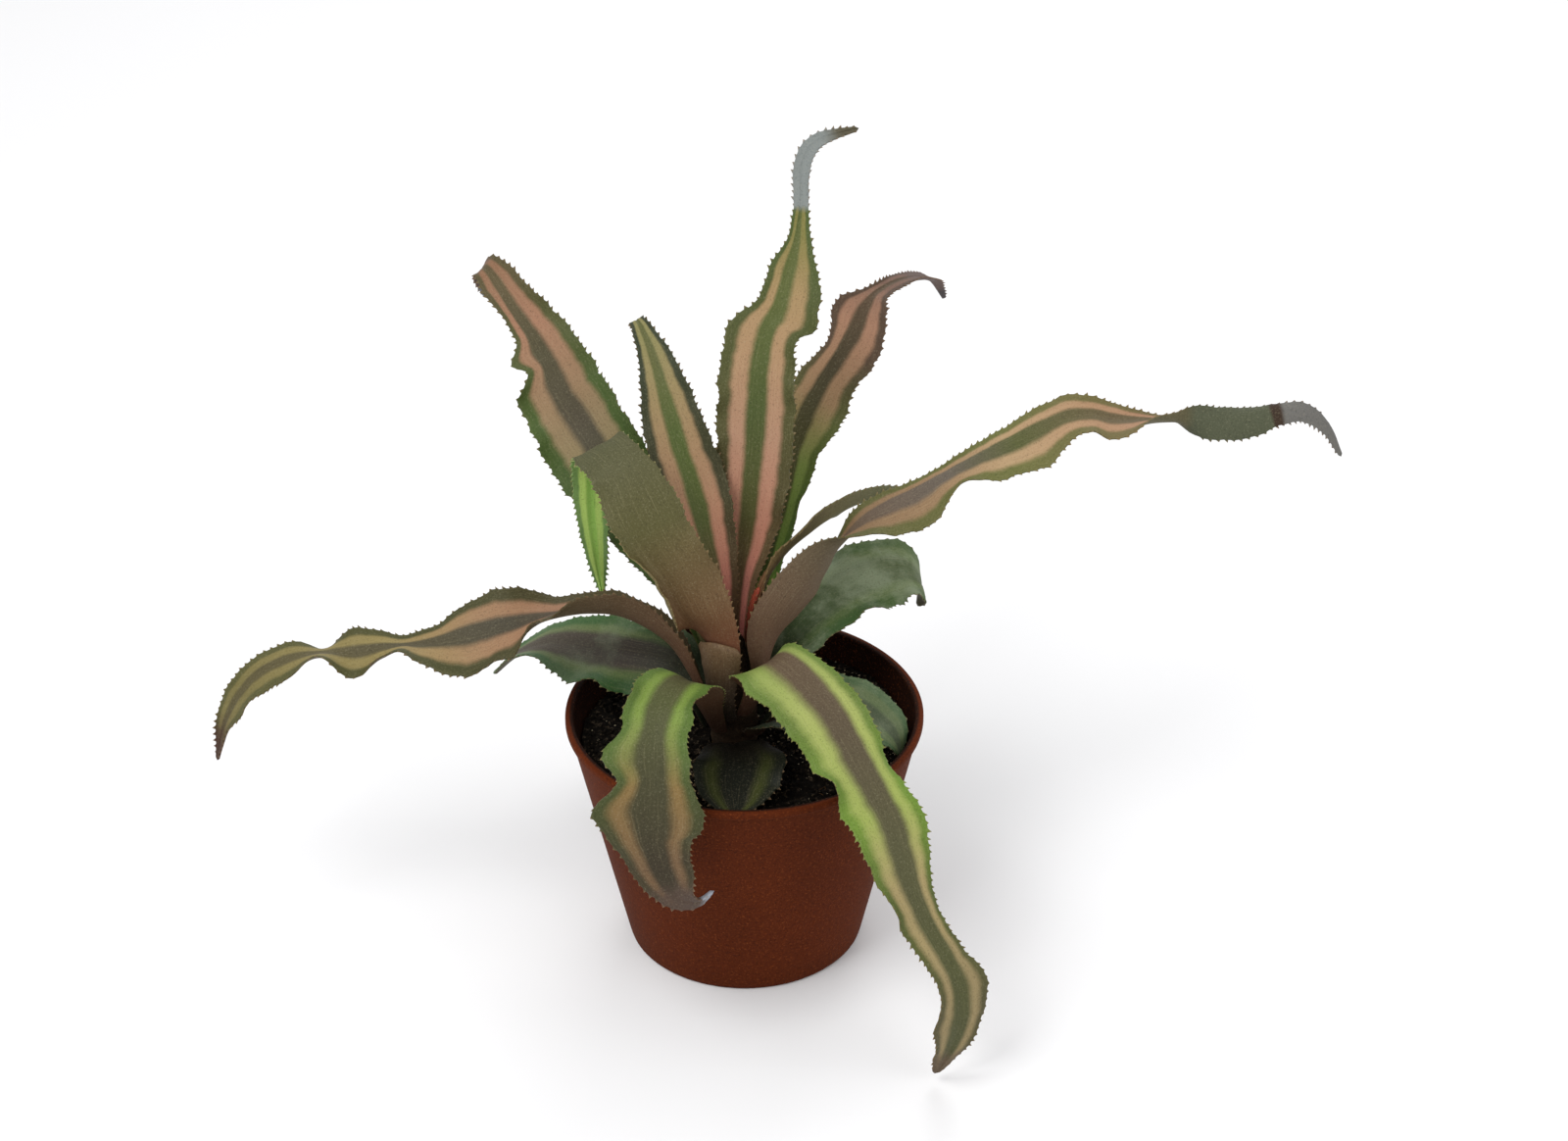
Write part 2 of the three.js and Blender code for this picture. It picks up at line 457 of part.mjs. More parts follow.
// The ruffle's angle at a place along the leaf: a soft wave through the listed angles
function ruffleAngle(list, place) {
  const marks = [[0, 0], ...list, [1, 0]];
  for (let i = 0; i + 1 < marks.length; i += 1) {
    const [[p0, a0], [p1, a1]] = [marks[i], marks[i + 1]];
    if (place >= p0 && place <= p1) {
      const t = (place - p0) / Math.max(p1 - p0, 1e-9);
      return a0 + (a1 - a0) * (0.5 - 0.5 * Math.cos(Math.PI * t));
    }
  }
  return 0;
}

// How much of the ruffle's angle reaches a point across the blade: none at the midrib, all at the margin
function ruffleShare(across) {
  const t = Math.min(1, Math.max(0, (across - FRILL_FROM) / (1 - FRILL_FROM)));
  return t * t * (3 - 2 * t);
}

// The frame that a blade's cross-section stands in, carried along the midrib without needless twist
function bladeFrames(rows) {
  const place = rows.map((row) => new THREE.Vector3(row[0], row[1], row[2]));
  const side = new THREE.Vector3();
  return rows.map((row, i) => {
    const ahead = place[Math.min(i + 1, rows.length - 1)].clone();
    ahead.sub(place[Math.max(i - 1, 0)]).normalize();
    if (i === 0) {
      side.set(-ahead.y, ahead.x, 0);
    }
    side.addScaledVector(ahead, -side.dot(ahead)).normalize();
    const rise = new THREE.Vector3().crossVectors(ahead, side);
    const roll = rad(row[5]);
    const across = side.clone().multiplyScalar(Math.cos(roll)).addScaledVector(rise, Math.sin(roll));
    const up = rise.clone().multiplyScalar(Math.cos(roll)).addScaledVector(side, -Math.sin(roll));
    return { point: place[i], ahead, across, up };
  });
}

// One side of a cross-section, from beside the midrib out to the margin
function halfSection(frame, sign, width, cup, ruffle) {
  const point = frame.point.clone();
  const strips = [];
  for (let k = 0; k + 1 < STRIPS.length; k += 1) {
    const middle = (STRIPS[k] + STRIPS[k + 1]) / 2;
    const tilt = rad(cup * middle + ruffle * ruffleShare(middle));
    const out = frame.across.clone().multiplyScalar(sign * Math.cos(tilt));
    out.addScaledVector(frame.up, Math.sin(tilt));
    const normal = frame.up.clone().multiplyScalar(Math.cos(tilt));
    normal.addScaledVector(frame.across, -sign * Math.sin(tilt));
    point.addScaledVector(out, width * (STRIPS[k + 1] - STRIPS[k]));
    strips.push({ point: point.clone(), out, normal, share: STRIPS[k + 1] });
  }
  return strips.map((strip, k) => {
    const next = strips[Math.min(k + 1, strips.length - 1)];
    return { ...strip, normal: strip.normal.clone().add(next.normal).normalize() };
  });
}

// A whole cross-section, from the right margin to the left, each point with the blade's normal there
function crossSection(frame, row, place, leaf) {
  const [widthLeft, widthRight, , cup] = row.slice(3);
  const left = halfSection(frame, 1, widthLeft, cup, ruffleAngle(leaf.left, place));
  const right = halfSection(frame, -1, widthRight, cup, ruffleAngle(leaf.right, place));
  return [...right.reverse(), { point: frame.point, normal: frame.up, share: 0 }, ...left];
}

// A leaf blade: closed, thickest along the midrib, with small forward-pointing teeth on both margins
function makeLeaf(leaf) {
  const rows = evenRun(leaf.stations, RING_PITCH);
  const frames = bladeFrames(rows);
  const count = rows.length - 1;
  const width = 2 * STRIPS.length - 1;
  const points = [];
  const triangles = [];
  const sections = [];
  for (let i = 0; i < count; i += 1) {
    const section = crossSection(frames[i], rows[i], i / count, leaf);
    sections.push(section);
    for (const face of [1, -1]) {
      for (const { point, normal, share } of section) {
        const thickness = MIDRIB_THICKNESS + (MARGIN_THICKNESS - MIDRIB_THICKNESS) * share;
        points.push(point.clone().addScaledVector(normal, (face * thickness) / 2));
      }
    }
  }
  const top = (i, j) => 2 * width * i + j;
  const under = (i, j) => 2 * width * i + width + j;
  const tip = points.push(frames[count].point.clone()) - 1;
  for (let j = 0; j + 1 < width; j += 1) {
    triangles.push([under(0, j), top(0, j), top(0, j + 1)], [under(0, j), top(0, j + 1), under(0, j + 1)]);
    for (let i = 0; i + 1 < count; i += 1) {
      triangles.push([top(i, j), top(i + 1, j), top(i + 1, j + 1)]);
      triangles.push([top(i, j), top(i + 1, j + 1), top(i, j + 1)]);
      triangles.push([under(i, j), under(i + 1, j + 1), under(i + 1, j)]);
      triangles.push([under(i, j), under(i, j + 1), under(i + 1, j + 1)]);
    }
    triangles.push([top(count - 1, j), tip, top(count - 1, j + 1)]);
    triangles.push([under(count - 1, j), under(count - 1, j + 1), tip]);
  }
  for (const j of [0, width - 1]) {
    const [near, far] = j ? [under, top] : [top, under];
    for (let i = 0; i + 1 < count; i += 1) {
      const loop = [near(i, j), far(i, j), far(i + 1, j), near(i + 1, j)];
      if (i / count < TEETH_START) {
        triangles.push([loop[0], loop[1], loop[2]], [loop[0], loop[2], loop[3]]);
      } else {
        const apex = sections[i][j].point.clone().add(sections[i + 1][j].point).multiplyScalar(0.5);
        apex.addScaledVector(sections[i][j].out, TOOTH_LENGTH).addScaledVector(frames[i].ahead, TOOTH_LEAN);
        const a = points.push(apex) - 1;
        loop.forEach((corner, k) => triangles.push([corner, loop[(k + 1) % 4], a]));
      }
    }
    triangles.push([near(count - 1, j), far(count - 1, j), tip]);
  }
  return shell(points, triangles);
}

function material(colour, roughness) {
  return new THREE.MeshStandardMaterial({ color: colour, roughness, metalness: 0 });
}

function leafColour(name) {
  if (name.includes("heart")) {
    return COLOURS.heart;
  }
  if (name.includes("long")) {
    return COLOURS.long;
  }
  return name.includes("low") || name.includes("front") ? COLOURS.low : COLOURS.upright;
}

const plant = new THREE.Group();

function addPiece(name, geometry, colour, roughness) {
  const mesh = new THREE.Mesh(geometry, material(colour, roughness));
  mesh.name = name;
  plant.add(mesh);
}

addPiece("pot", makePot(), COLOURS.pot, 0.6);
addPiece("soil", makeSoil(), COLOURS.soil, 0.95);
addPiece("stem", makeStem(), COLOURS.stem, 0.85);
for (const [name, leaf] of Object.entries(LEAVES)) {
  addPiece(name, makeLeaf(leaf), leafColour(name), 0.6);
}

export default plant;
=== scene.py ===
# %% [markdown]
# An earth star bromeliad (Cryptanthus) in a small plastic pot.
# The lesson builds the looks of a potted plant round a fixed model of plain solids: a pot, its soil,
# a short stem and a rosette of long ruffled leaves. Each plain solid is replaced by a finer piece that
# stands in the same place. Everything is in metres, +Z up, with the pot's underside on z = 0.

# %% Load the fixed model and keep its box
import math
import random

import bpy
import numpy as np
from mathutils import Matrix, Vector, noise


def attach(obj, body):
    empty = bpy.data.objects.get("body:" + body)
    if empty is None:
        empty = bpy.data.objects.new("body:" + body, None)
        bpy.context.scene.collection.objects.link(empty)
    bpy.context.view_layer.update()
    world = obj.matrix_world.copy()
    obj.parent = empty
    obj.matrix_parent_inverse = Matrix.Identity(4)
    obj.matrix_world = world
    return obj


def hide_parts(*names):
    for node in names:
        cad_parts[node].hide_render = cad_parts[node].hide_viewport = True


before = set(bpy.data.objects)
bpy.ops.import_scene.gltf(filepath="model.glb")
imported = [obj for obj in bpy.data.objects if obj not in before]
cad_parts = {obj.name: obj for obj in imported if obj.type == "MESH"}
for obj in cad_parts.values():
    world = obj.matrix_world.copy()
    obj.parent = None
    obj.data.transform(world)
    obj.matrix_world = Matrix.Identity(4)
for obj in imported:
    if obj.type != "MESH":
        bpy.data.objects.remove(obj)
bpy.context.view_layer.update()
MM = 0.001
print("solids:", sorted(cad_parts))

# %% [markdown]
# The camera stands about a metre away and looks down on the pot at a little over thirty degrees, level
# from side to side. The focal length was worked out from the ellipse that the pot's lip makes in the
# picture, so it is a real lens, a little longer than a portrait lens. Depth of field stays off.

# %% Camera
PICTURE_WIDTH = 1600
FOCAL_PIXELS = 3480
SENSOR = 36.0
CAMERA_PLACE = Vector((11.6, -830.98, 632.3)) * MM
LOOKING_DOWN = math.radians(31.463)

lens = bpy.data.cameras.new("camera")
lens.sensor_width = SENSOR
lens.lens = SENSOR * FOCAL_PIXELS / PICTURE_WIDTH
lens.clip_start = 0.01
camera = bpy.data.objects.new("camera", lens)
camera.location = CAMERA_PLACE
camera.rotation_euler = (math.pi / 2 - LOOKING_DOWN, 0, 0)
bpy.context.scene.collection.objects.link(camera)
bpy.context.scene.camera = camera
print("lens", round(lens.lens, 1), "mm, looking down", round(math.degrees(LOOKING_DOWN), 1), "degrees")

# %% [markdown]
# Colours are easiest to judge as the 0 to 255 values of a screen, but shaders want linear light, so one
# helper turns the first into the second. The other helpers save typing: put adds a node and joins or
# sets its inputs by name, and the small ones after it wrap the sums that come back again and again.

# %% Colour and node helpers
def screen(red, green, blue):
    values = [v / 255 for v in (red, green, blue)]
    return tuple(v / 12.92 if v <= 0.04045 else ((v + 0.055) / 1.055) ** 2.4 for v in values) + (1.0,)


def feed(tree, socket, value):
    if isinstance(value, bpy.types.NodeSocket):
        tree.links.new(value, socket)
    else:
        socket.default_value = value


def put(tree, kind, inputs=None, **settings):
    node = tree.nodes.new("ShaderNode" + kind)
    for key, value in settings.items():
        setattr(node, key, value)
    for key, value in (inputs or {}).items():
        feed(tree, node.inputs[key], value)
    return node


def maths(tree, operation, *values):
    return put(tree, "Math", dict(enumerate(values)), operation=operation).outputs[0]


def times(tree, value, other):
    return maths(tree, "MULTIPLY", value, other)


def ease(tree, value, low, high):
    """0 up to low, 1 from high on, and a smooth step between."""
    sockets = {"Value": value, "From Min": low, "From Max": high}
    return put(tree, "MapRange", sockets, interpolation_type="SMOOTHSTEP").outputs["Result"]


def mix(tree, share, low, high):
    node = put(tree, "Mix", data_type="RGBA")
    for socket in node.inputs:
        if socket.enabled and socket.name in ("Factor", "A", "B"):
            feed(tree, socket, {"Factor": share, "A": low, "B": high}[socket.name])
    return next(out for out in node.outputs if out.enabled)


def grain(tree, vector, scale, detail, rough=0.5):
    sockets = {"Vector": vector, "Scale": scale, "Detail": detail, "Roughness": rough}
    return put(tree, "TexNoise", sockets).outputs["Fac"]


def point(tree, x, y, z):
    return put(tree, "CombineXYZ", {"X": x, "Y": y, "Z": z}).outputs[0]


def height_and_reach(tree, place):
    """How high a point lies, and how far from the upright axis, both in metres."""
    parts = put(tree, "SeparateXYZ", {"Vector": place}).outputs
    flat = point(tree, parts["X"], parts["Y"], 0.0)
    return parts["Z"], put(tree, "VectorMath", {0: flat}, operation="LENGTH").outputs["Value"]


def painted(tree, name):
    return put(tree, "Attribute", attribute_name=name).outputs["Fac"]


print("screen grey 128 is linear", round(screen(128, 128, 128)[0], 3))

# %% [markdown]
# A studio for a small plant is a pale sweep and a few large soft lights. Big lamps close to the subject
# give soft shadows. The key comes from the upper left, a weaker fill from the right, and one from behind
# brightens the leaf edges. The plain view transform keeps painted colours as they are chosen.

# %% Light and floor
SKY = screen(250, 250, 252)
SKY_STRENGTH = 0.8
SUBJECT = Vector((0, 0, 0.09))
FLOOR_SIZE = 4.0
FLOOR_GREY = screen(232, 232, 232)
FLOOR_ROUGHNESS = 0.9

bpy.context.scene.view_settings.view_transform = "Standard"
studio = bpy.data.worlds.new("studio")
studio.use_nodes = True
sky = studio.node_tree.nodes["Background"]
sky.inputs["Color"].default_value = SKY
sky.inputs["Strength"].default_value = SKY_STRENGTH
bpy.context.scene.world = studio


def soft_light(name, place, size, power):
    lamp = bpy.data.lights.new(name, "AREA")
    lamp.size = size
    lamp.energy = power
    holder = bpy.data.objects.new(name, lamp)
    holder.location = place
    holder.rotation_euler = (SUBJECT - holder.location).to_track_quat("-Z", "Y").to_euler()
    bpy.context.scene.collection.objects.link(holder)


soft_light("key", Vector((-0.5, -0.5, 1.1)), 0.6, 9.0)
soft_light("fill", Vector((0.9, -0.6, 0.6)), 0.8, 3.0)
soft_light("rim", Vector((0.2, 1.0, 0.9)), 0.7, 4.0)

floor_mesh = bpy.data.meshes.new("floor")
half = FLOOR_SIZE / 2
floor_corners = [(-half, -half, 0), (half, -half, 0), (half, half, 0), (-half, half, 0)]
floor_mesh.from_pydata(floor_corners, [], [(0, 1, 2, 3)])
floor = bpy.data.objects.new("floor", floor_mesh)
bpy.context.scene.collection.objects.link(floor)
floor_finish = bpy.data.materials.new("pale_floor")
floor_finish.use_nodes = True
floor_shader = floor_finish.node_tree.nodes["Principled BSDF"]
floor_shader.inputs["Base Color"].default_value = FLOOR_GREY
floor_shader.inputs["Roughness"].default_value = FLOOR_ROUGHNESS
floor_mesh.materials.append(floor_finish)
print("lights: key, fill and rim over a floor of", FLOOR_SIZE, "m")

# %% [markdown]
# Some effects come back in several finishes, so each of them is a node group with named sockets, built
# once. Speckle scatters fine light and dark grains over any colour, as in moulded plastic, in peat and in
# the powdery scales on a leaf. A group hands out only colours, masks and values. The shader itself stays
# in each material, where the export can read it.

# %% Node group helpers and the Speckle group
WHITE = screen(255, 255, 255)
BLACK = screen(0, 0, 0)
LIGHT_GRAINS = (0.54, 0.7)
DARK_GRAINS = (0.46, 0.3)


def start_group(name, inputs, outputs=("Color",)):
    """A node group. A socket is a colour, a number or, where its first value is None, a vector."""
    group = bpy.data.node_groups.new(name, "ShaderNodeTree")
    for label, value in inputs.items():
        kind = "Vector" if value is None else "Color" if value in (WHITE, BLACK) else "Float"
        made = group.interface.new_socket(label, in_out="INPUT", socket_type="NodeSocket" + kind)
        if value is not None:
            made.default_value = value
    for label in outputs:
        kind = "Color" if label == "Color" else "Float"
        group.interface.new_socket(label, in_out="OUTPUT", socket_type="NodeSocket" + kind)
    return group, group.nodes.new("NodeGroupInput").outputs, group.nodes.new("NodeGroupOutput").inputs


def place_group(tree, group, inputs):
    node = tree.nodes.new("ShaderNodeGroup")
    node.node_tree = group
    for key, value in inputs.items():
        feed(tree, node.inputs[key], value)
    return node.outputs


speckle, given, result = start_group("Speckle", {
    "Color": WHITE, "Vector": None, "Scale": 900.0, "Light Grain": WHITE, "Light Share": 0.2,
    "Dark Grain": BLACK, "Dark Share": 0.2,
}, ("Color", "Height"))
fine = grain(speckle, given["Vector"], given["Scale"], 3.0, 0.7)
light = times(speckle, ease(speckle, fine, *LIGHT_GRAINS), given["Light Share"])
dark = times(speckle, ease(speckle, fine, *DARK_GRAINS), given["Dark Share"])
lit = mix(speckle, light, given["Color"], given["Light Grain"])
speckle.links.new(mix(speckle, dark, lit, given["Dark Grain"]), result["Color"])
speckle.links.new(fine, result["Height"])
print("group", speckle.name, "with", len(speckle.nodes), "nodes")

# %% [markdown]
# Every finish ends in the same shader with a bump of its own. One helper makes the material with its
# Principled shader and sets plain numbers straight on the shader's sockets. A second one paints the
# shader with a colour and joins a height to a Bump node, and a third scatters grains over the colour
# before that. The last turns lists of points and faces into a piece, rides it on the plant's body, and
# hides the plain solids it stands for.

# %% Material and piece helpers
def new_finish(name, roughness, specular):
    """A material with its node tree, its shader and the place of each point on the piece."""
    finish = bpy.data.materials.new(name)
    finish.use_nodes = True
    tree = finish.node_tree
    shader = tree.nodes["Principled BSDF"]
    shader.inputs["Roughness"].default_value = roughness
    shader.inputs["Specular IOR Level"].default_value = specular
    return finish, tree, shader, put(tree, "TexCoord").outputs["Object"]


def paint(tree, shader, colour, height, strength, depth):
    sockets = {"Height": height, "Strength": strength, "Distance": depth}
    feed(tree, shader.inputs["Base Color"], colour)
    feed(tree, shader.inputs["Normal"], put(tree, "Bump", sockets).outputs["Normal"])


def paint_grained(tree, shader, colour, place, scale, light, dark, strength, depth):
    """Light and dark are each the colour of such grains and their share."""
    grains = place_group(tree, speckle, {
        "Color": colour, "Vector": place, "Scale": scale, "Light Grain": light[0], "Light Share": light[1],
        "Dark Grain": dark[0], "Dark Share": dark[1],
    })
    paint(tree, shader, grains["Color"], grains["Height"], strength, depth)


def add_piece(name, points, faces, finish, stands_for=(), crease=40.0):
    mesh = bpy.data.meshes.new(name)
    mesh.from_pydata((np.asarray(points) * MM).tolist(), [], faces)
    mesh.materials.append(finish)
    mesh.shade_smooth()
    mesh.set_sharp_from_angle(angle=math.radians(crease))
    piece = bpy.data.objects.new(name, mesh)
    bpy.context.scene.collection.objects.link(piece)
    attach(piece, "root")
    if stands_for:
        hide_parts(*stands_for)
    return piece


def ring_faces(rows, columns):
    """Faces over rows of points that run round in a ring, closed by a fan round each of two last points."""
    steps = [(j, (j + 1) % columns) for j in range(columns)]
    last_row, first, last = (rows - 1) * columns, rows * columns, rows * columns + 1
    faces = [(low + j, low + columns + j, low + columns + k, low + k)
             for low in range(0, last_row, columns) for j, k in steps]
    for j, k in steps:
        faces += [(first, j, k), (last, last_row + k, last_row + j)]
    return faces


def turn(profile, sides):
    """Points and faces of a closed profile of (radius, height), turned about the upright axis."""
    angles = np.arange(sides) * (2 * math.pi / sides)
    east, north = np.cos(angles), np.sin(angles)
    rows = [np.stack([r * east, r * north, np.full(sides, h)], 1) for r, h in profile[1:-1]]
    points = np.vstack(rows + [[(0, 0, profile[0][1])], [(0, 0, profile[-1][1])]])
    return points, [tuple(reversed(face)) for face in ring_faces(len(rows), sides)]


print("helpers: new_finish, paint, paint_grained, add_piece, ring_faces, turn")

# %% [markdown]
# The pot is a thin plastic nursery pot in a brown terracotta colour. It is one moulding with a straight
# taper, a small rolled lip, a step at the foot and holes in the floor. A turned profile gives the wall,
# and rounded corners on the lip catch the light as the real one does. The holes are cut by a boolean.

# %% Pot shape
POT_HEIGHT = 76
RIM_RADIUS = 52.5
BASE_RADIUS = 35.5
WALL = 1.4
LIP_HEIGHT = 2.5
LIP_PROUD = 1.1
LIP_ROUND = 0.7
BEVEL = 1
FOOT_CORNER = (0.4, 0.6)
FLOOR_LIFT = 1.5
FLOOR_THICKNESS = 1.6
FOOT_WIDTH = 5
FOOT_STEP = 2
PAD_RADIUS = 9
DRAIN_COUNT = 6
DRAIN_RADIUS = 3.5
DRAIN_CIRCLE = 20
POT_SIDES = 192
CORNER_STEPS = 4


def wall_radius(z):
    top = POT_HEIGHT - LIP_HEIGHT
    return BASE_RADIUS + (RIM_RADIUS - LIP_PROUD - BASE_RADIUS) * (z - FOOT_STEP) / (top - FOOT_STEP)


def corner(radius, height, size, start):
    """A quarter round of a profile, about its middle point, from an angle in degrees on."""
    steps = [math.radians(start + 90 * k / CORNER_STEPS) for k in range(CORNER_STEPS + 1)]
    return [(radius + size * math.cos(a), height + size * math.sin(a)) for a in steps]


lip_bottom = POT_HEIGHT - LIP_HEIGHT
floor_top = FLOOR_LIFT + FLOOR_THICKNESS
foot_inner = BASE_RADIUS - FOOT_WIDTH
mouth = RIM_RADIUS - LIP_PROUD - WALL
pot_profile = [
    (0, 0), (PAD_RADIUS, 0), (PAD_RADIUS + BEVEL, FLOOR_LIFT), (foot_inner - BEVEL, FLOOR_LIFT),
    (foot_inner, 0), (BASE_RADIUS - BEVEL, 0), (BASE_RADIUS - FOOT_CORNER[0], FOOT_CORNER[1]),
    (BASE_RADIUS, FOOT_STEP),
]
pot_profile += [(wall_radius(z), z) for z in np.linspace(FOOT_STEP + 3, lip_bottom, 16)]
pot_profile += corner(RIM_RADIUS - LIP_ROUND, lip_bottom + LIP_ROUND, LIP_ROUND, -90)
pot_profile += corner(RIM_RADIUS - LIP_ROUND, POT_HEIGHT - LIP_ROUND, LIP_ROUND, 0)
pot_profile += corner(mouth + LIP_ROUND, POT_HEIGHT - LIP_ROUND, LIP_ROUND, 90)
pot_profile += [(wall_radius(z) - WALL, z) for z in np.linspace(lip_bottom, floor_top + BEVEL, 10)]
pot_profile += [(wall_radius(floor_top + BEVEL) - WALL - BEVEL, floor_top), (0, floor_top)]
pot_points, pot_faces = turn(pot_profile, POT_SIDES)
print("pot profile points:", len(pot_profile))

# %% [markdown]
# The plastic is matte and holds a fine grain of darker and lighter specks. Grains come from noise at about
# half a millimetre, the colour drifts a little over the wall, and a weak bump at the same scale breaks up
# the highlight. The inside is darkened near black by painted shade. It begins where a point lies nearer
# to the axis than the outer wall does at the same height. The drain holes are cut through the floor
# afterwards.

# %% Pot finish
INNER_SHADE_FROM = -0.4 * MM
INNER_SHADE_FULL = -1.2 * MM
INNER_SHADE_SHARE = 0.88
TAPER_HEIGHT = 60
DRILL_FROM = -5
DRILL_TO = 12
DRILL_SIDES = 32

plastic, tree, shader, place = new_finish("pot_plastic", 0.7, 0.05)
drift = mix(tree, grain(tree, place, 35.0, 3.0), screen(70, 28, 9), screen(88, 37, 13))
height, reach = height_and_reach(tree, place)
taper = (wall_radius(TAPER_HEIGHT) - wall_radius(0)) / TAPER_HEIGHT
wall_here = maths(tree, "ADD", times(tree, height, taper), wall_radius(0) * MM)
# Painted shade: points inside the wall are darkened towards near black.
inside = ease(tree, maths(tree, "SUBTRACT", reach, wall_here), INNER_SHADE_FROM, INNER_SHADE_FULL)
drift = mix(tree, times(tree, inside, INNER_SHADE_SHARE), drift, screen(14, 10, 7))
light, dark = (screen(146, 78, 36), 0.3), (screen(34, 14, 8), 0.6)
paint_grained(tree, shader, drift, place, 1500.0, light, dark, 0.35, 0.2 * MM)

pot = add_piece("pot_shell", pot_points, pot_faces, plastic, ["pot"], 30.0)
for i in range(DRAIN_COUNT):
    angle = 2 * math.pi * i / DRAIN_COUNT
    side = [(0, DRILL_FROM), (DRAIN_RADIUS, DRILL_FROM), (DRAIN_RADIUS, DRILL_TO), (0, DRILL_TO)]
    drill_points, drill_faces = turn(side, DRILL_SIDES)
    drill_mesh = bpy.data.meshes.new("drill")
    offset = (DRAIN_CIRCLE * math.cos(angle), DRAIN_CIRCLE * math.sin(angle), 0)
    drill_mesh.from_pydata(((drill_points + offset) * MM).tolist(), [], drill_faces)
    drill = bpy.data.objects.new("drill", drill_mesh)
    bpy.context.scene.collection.objects.link(drill)
    cut = pot.modifiers.new("drain", "BOOLEAN")
    cut.object = drill
    cut.solver = "EXACT"
    bpy.context.view_layer.objects.active = pot
    bpy.ops.object.modifier_apply(modifier=cut.name)
    bpy.data.objects.remove(drill)
print("pot faces:", len(pot.data.polygons))

# %% [markdown]
# Peat potting soil fills the pot to a finger below the lip. Its top is a ring of rows whose height follows
# long swells with lumps on them, and noise adds the crumbs. It is heaped a little at the back right. The
# stem stands in a plain hole in the middle.

# %% Soil body
SOIL_LEVEL = 67
SOIL_FLOOR = 3.5
CLUMP_HEIGHT = 1.1
GAP = 0.3
STEM_FOOT = 50
STEM_TOP = 104
STEM_RADIUS = 7
STEM_SHOULDER = 72
STEM_X = -3
STEM_Y = -1
STEM_ROUNDING = 0.93
SOIL_SIDES = 220
SOIL_ROWS = 46
CRUMB = 1.3
CRUMB_PITCH = 0.35
GRIT = 0.5
GRIT_PITCH = 1.7
HEAP = 3
HEAP_X = 33
HEAP_Y = 22
HEAP_REACH = 20


def soil_height(x, y):
    swell = math.sin(0.11 * x + 0.8) + math.cos(0.13 * y - 0.4)
    lumps = math.sin(0.47 * x - 0.31 * y) + math.cos(0.39 * x + 0.52 * y + 1.1)
    return SOIL_LEVEL + CLUMP_HEIGHT * (0.45 * swell + 0.3 * lumps)


def crumbled(x, y):
    spot = Vector((x, y, 0))
    crumbs = noise.turbulence(spot * CRUMB_PITCH, 3, False) - 0.5
    heap = HEAP * math.exp(-(math.hypot(x - HEAP_X, y - HEAP_Y) / HEAP_REACH) ** 2)
    return soil_height(x, y) + heap + CRUMB * crumbs + GRIT * noise.noise(spot * GRIT_PITCH)


hole = STEM_RADIUS + GAP
soil_edge = wall_radius(SOIL_LEVEL) - WALL - GAP - CLUMP_HEIGHT / 2
soil_rings = [(hole, 1, STEM_FOOT - GAP)]
soil_rings += [(hole + (soil_edge - hole) * t, 1 - t, crumbled) for t in np.linspace(0, 1, SOIL_ROWS)]
soil_rings.append((wall_radius(SOIL_FLOOR + 1) - WALL - GAP - 1, 0, SOIL_FLOOR))
soil_points = []
for radius, shift, height in soil_rings:
    for j in range(SOIL_SIDES):
        angle = 2 * math.pi * j / SOIL_SIDES
        x, y = shift * STEM_X + radius * math.cos(angle), shift * STEM_Y + radius * math.sin(angle)
        soil_points.append((x, y, height(x, y) if callable(height) else height))
soil_points += [(STEM_X, STEM_Y, STEM_FOOT - GAP), (0, 0, SOIL_FLOOR)]

peat, tree, shader, place = new_finish("potting_soil", 0.95, 0.05)
# The near-black browns are the peat's own dark colour, darkened further with painted shade from inside the
# pot.
drift = mix(tree, grain(tree, place, 160.0, 4.0), screen(6, 5, 4), screen(22, 18, 13))
light, dark = (screen(120, 104, 84), 0.3), (screen(6, 5, 4), 0.8)
paint_grained(tree, shader, drift, place, 700.0, light, dark, 0.9, 0.8 * MM)
soil_faces = ring_faces(len(soil_rings), SOIL_SIDES)
add_piece("soil_bed", soil_points, soil_faces, peat, ["soil"], 60.0)
print("soil points:", len(soil_points))

# %% [markdown]
# Loose bits lie on the peat. Crumbs are lumps of the same peat, flecks are pale grains of perlite and
# sand, most of them at the right and at the back, and fibres are short brown threads. A lump is a small
# round mesh whose points are pushed in and out at random, and a fibre is a thin bent tube.

# %% Loose bits on the soil
CRUMB_COUNT = 900
FLECK_COUNT = 800
FIBRE_COUNT = 60
FIBRE_STEPS = 6
FIBRE_STEP = 0.7
FIBRE_RADIUS = 0.13
FIBRE_LIFT = 0.4
STEM_CLEAR = 9.5
EDGE_CLEAR = 2
SETTLED = 0.15
FLATTENED = 0.75
OCTAHEDRON = [(0, 2, 4), (2, 1, 4), (1, 3, 4), (3, 0, 4), (2, 0, 5), (1, 2, 5), (3, 1, 5), (0, 3, 5)]
CORNERS = [(1, 0, 0), (-1, 0, 0), (0, 1, 0), (0, -1, 0), (0, 0, 1), (0, 0, -1)]
GRAIN_SIZES = {"soil_crumbs": (0.4, 1.1), "soil_flecks": (0.15, 0.36)}
LEAN_TURN = 0.7
LOOSE_SEED = 5
draw = random.Random(LOOSE_SEED)


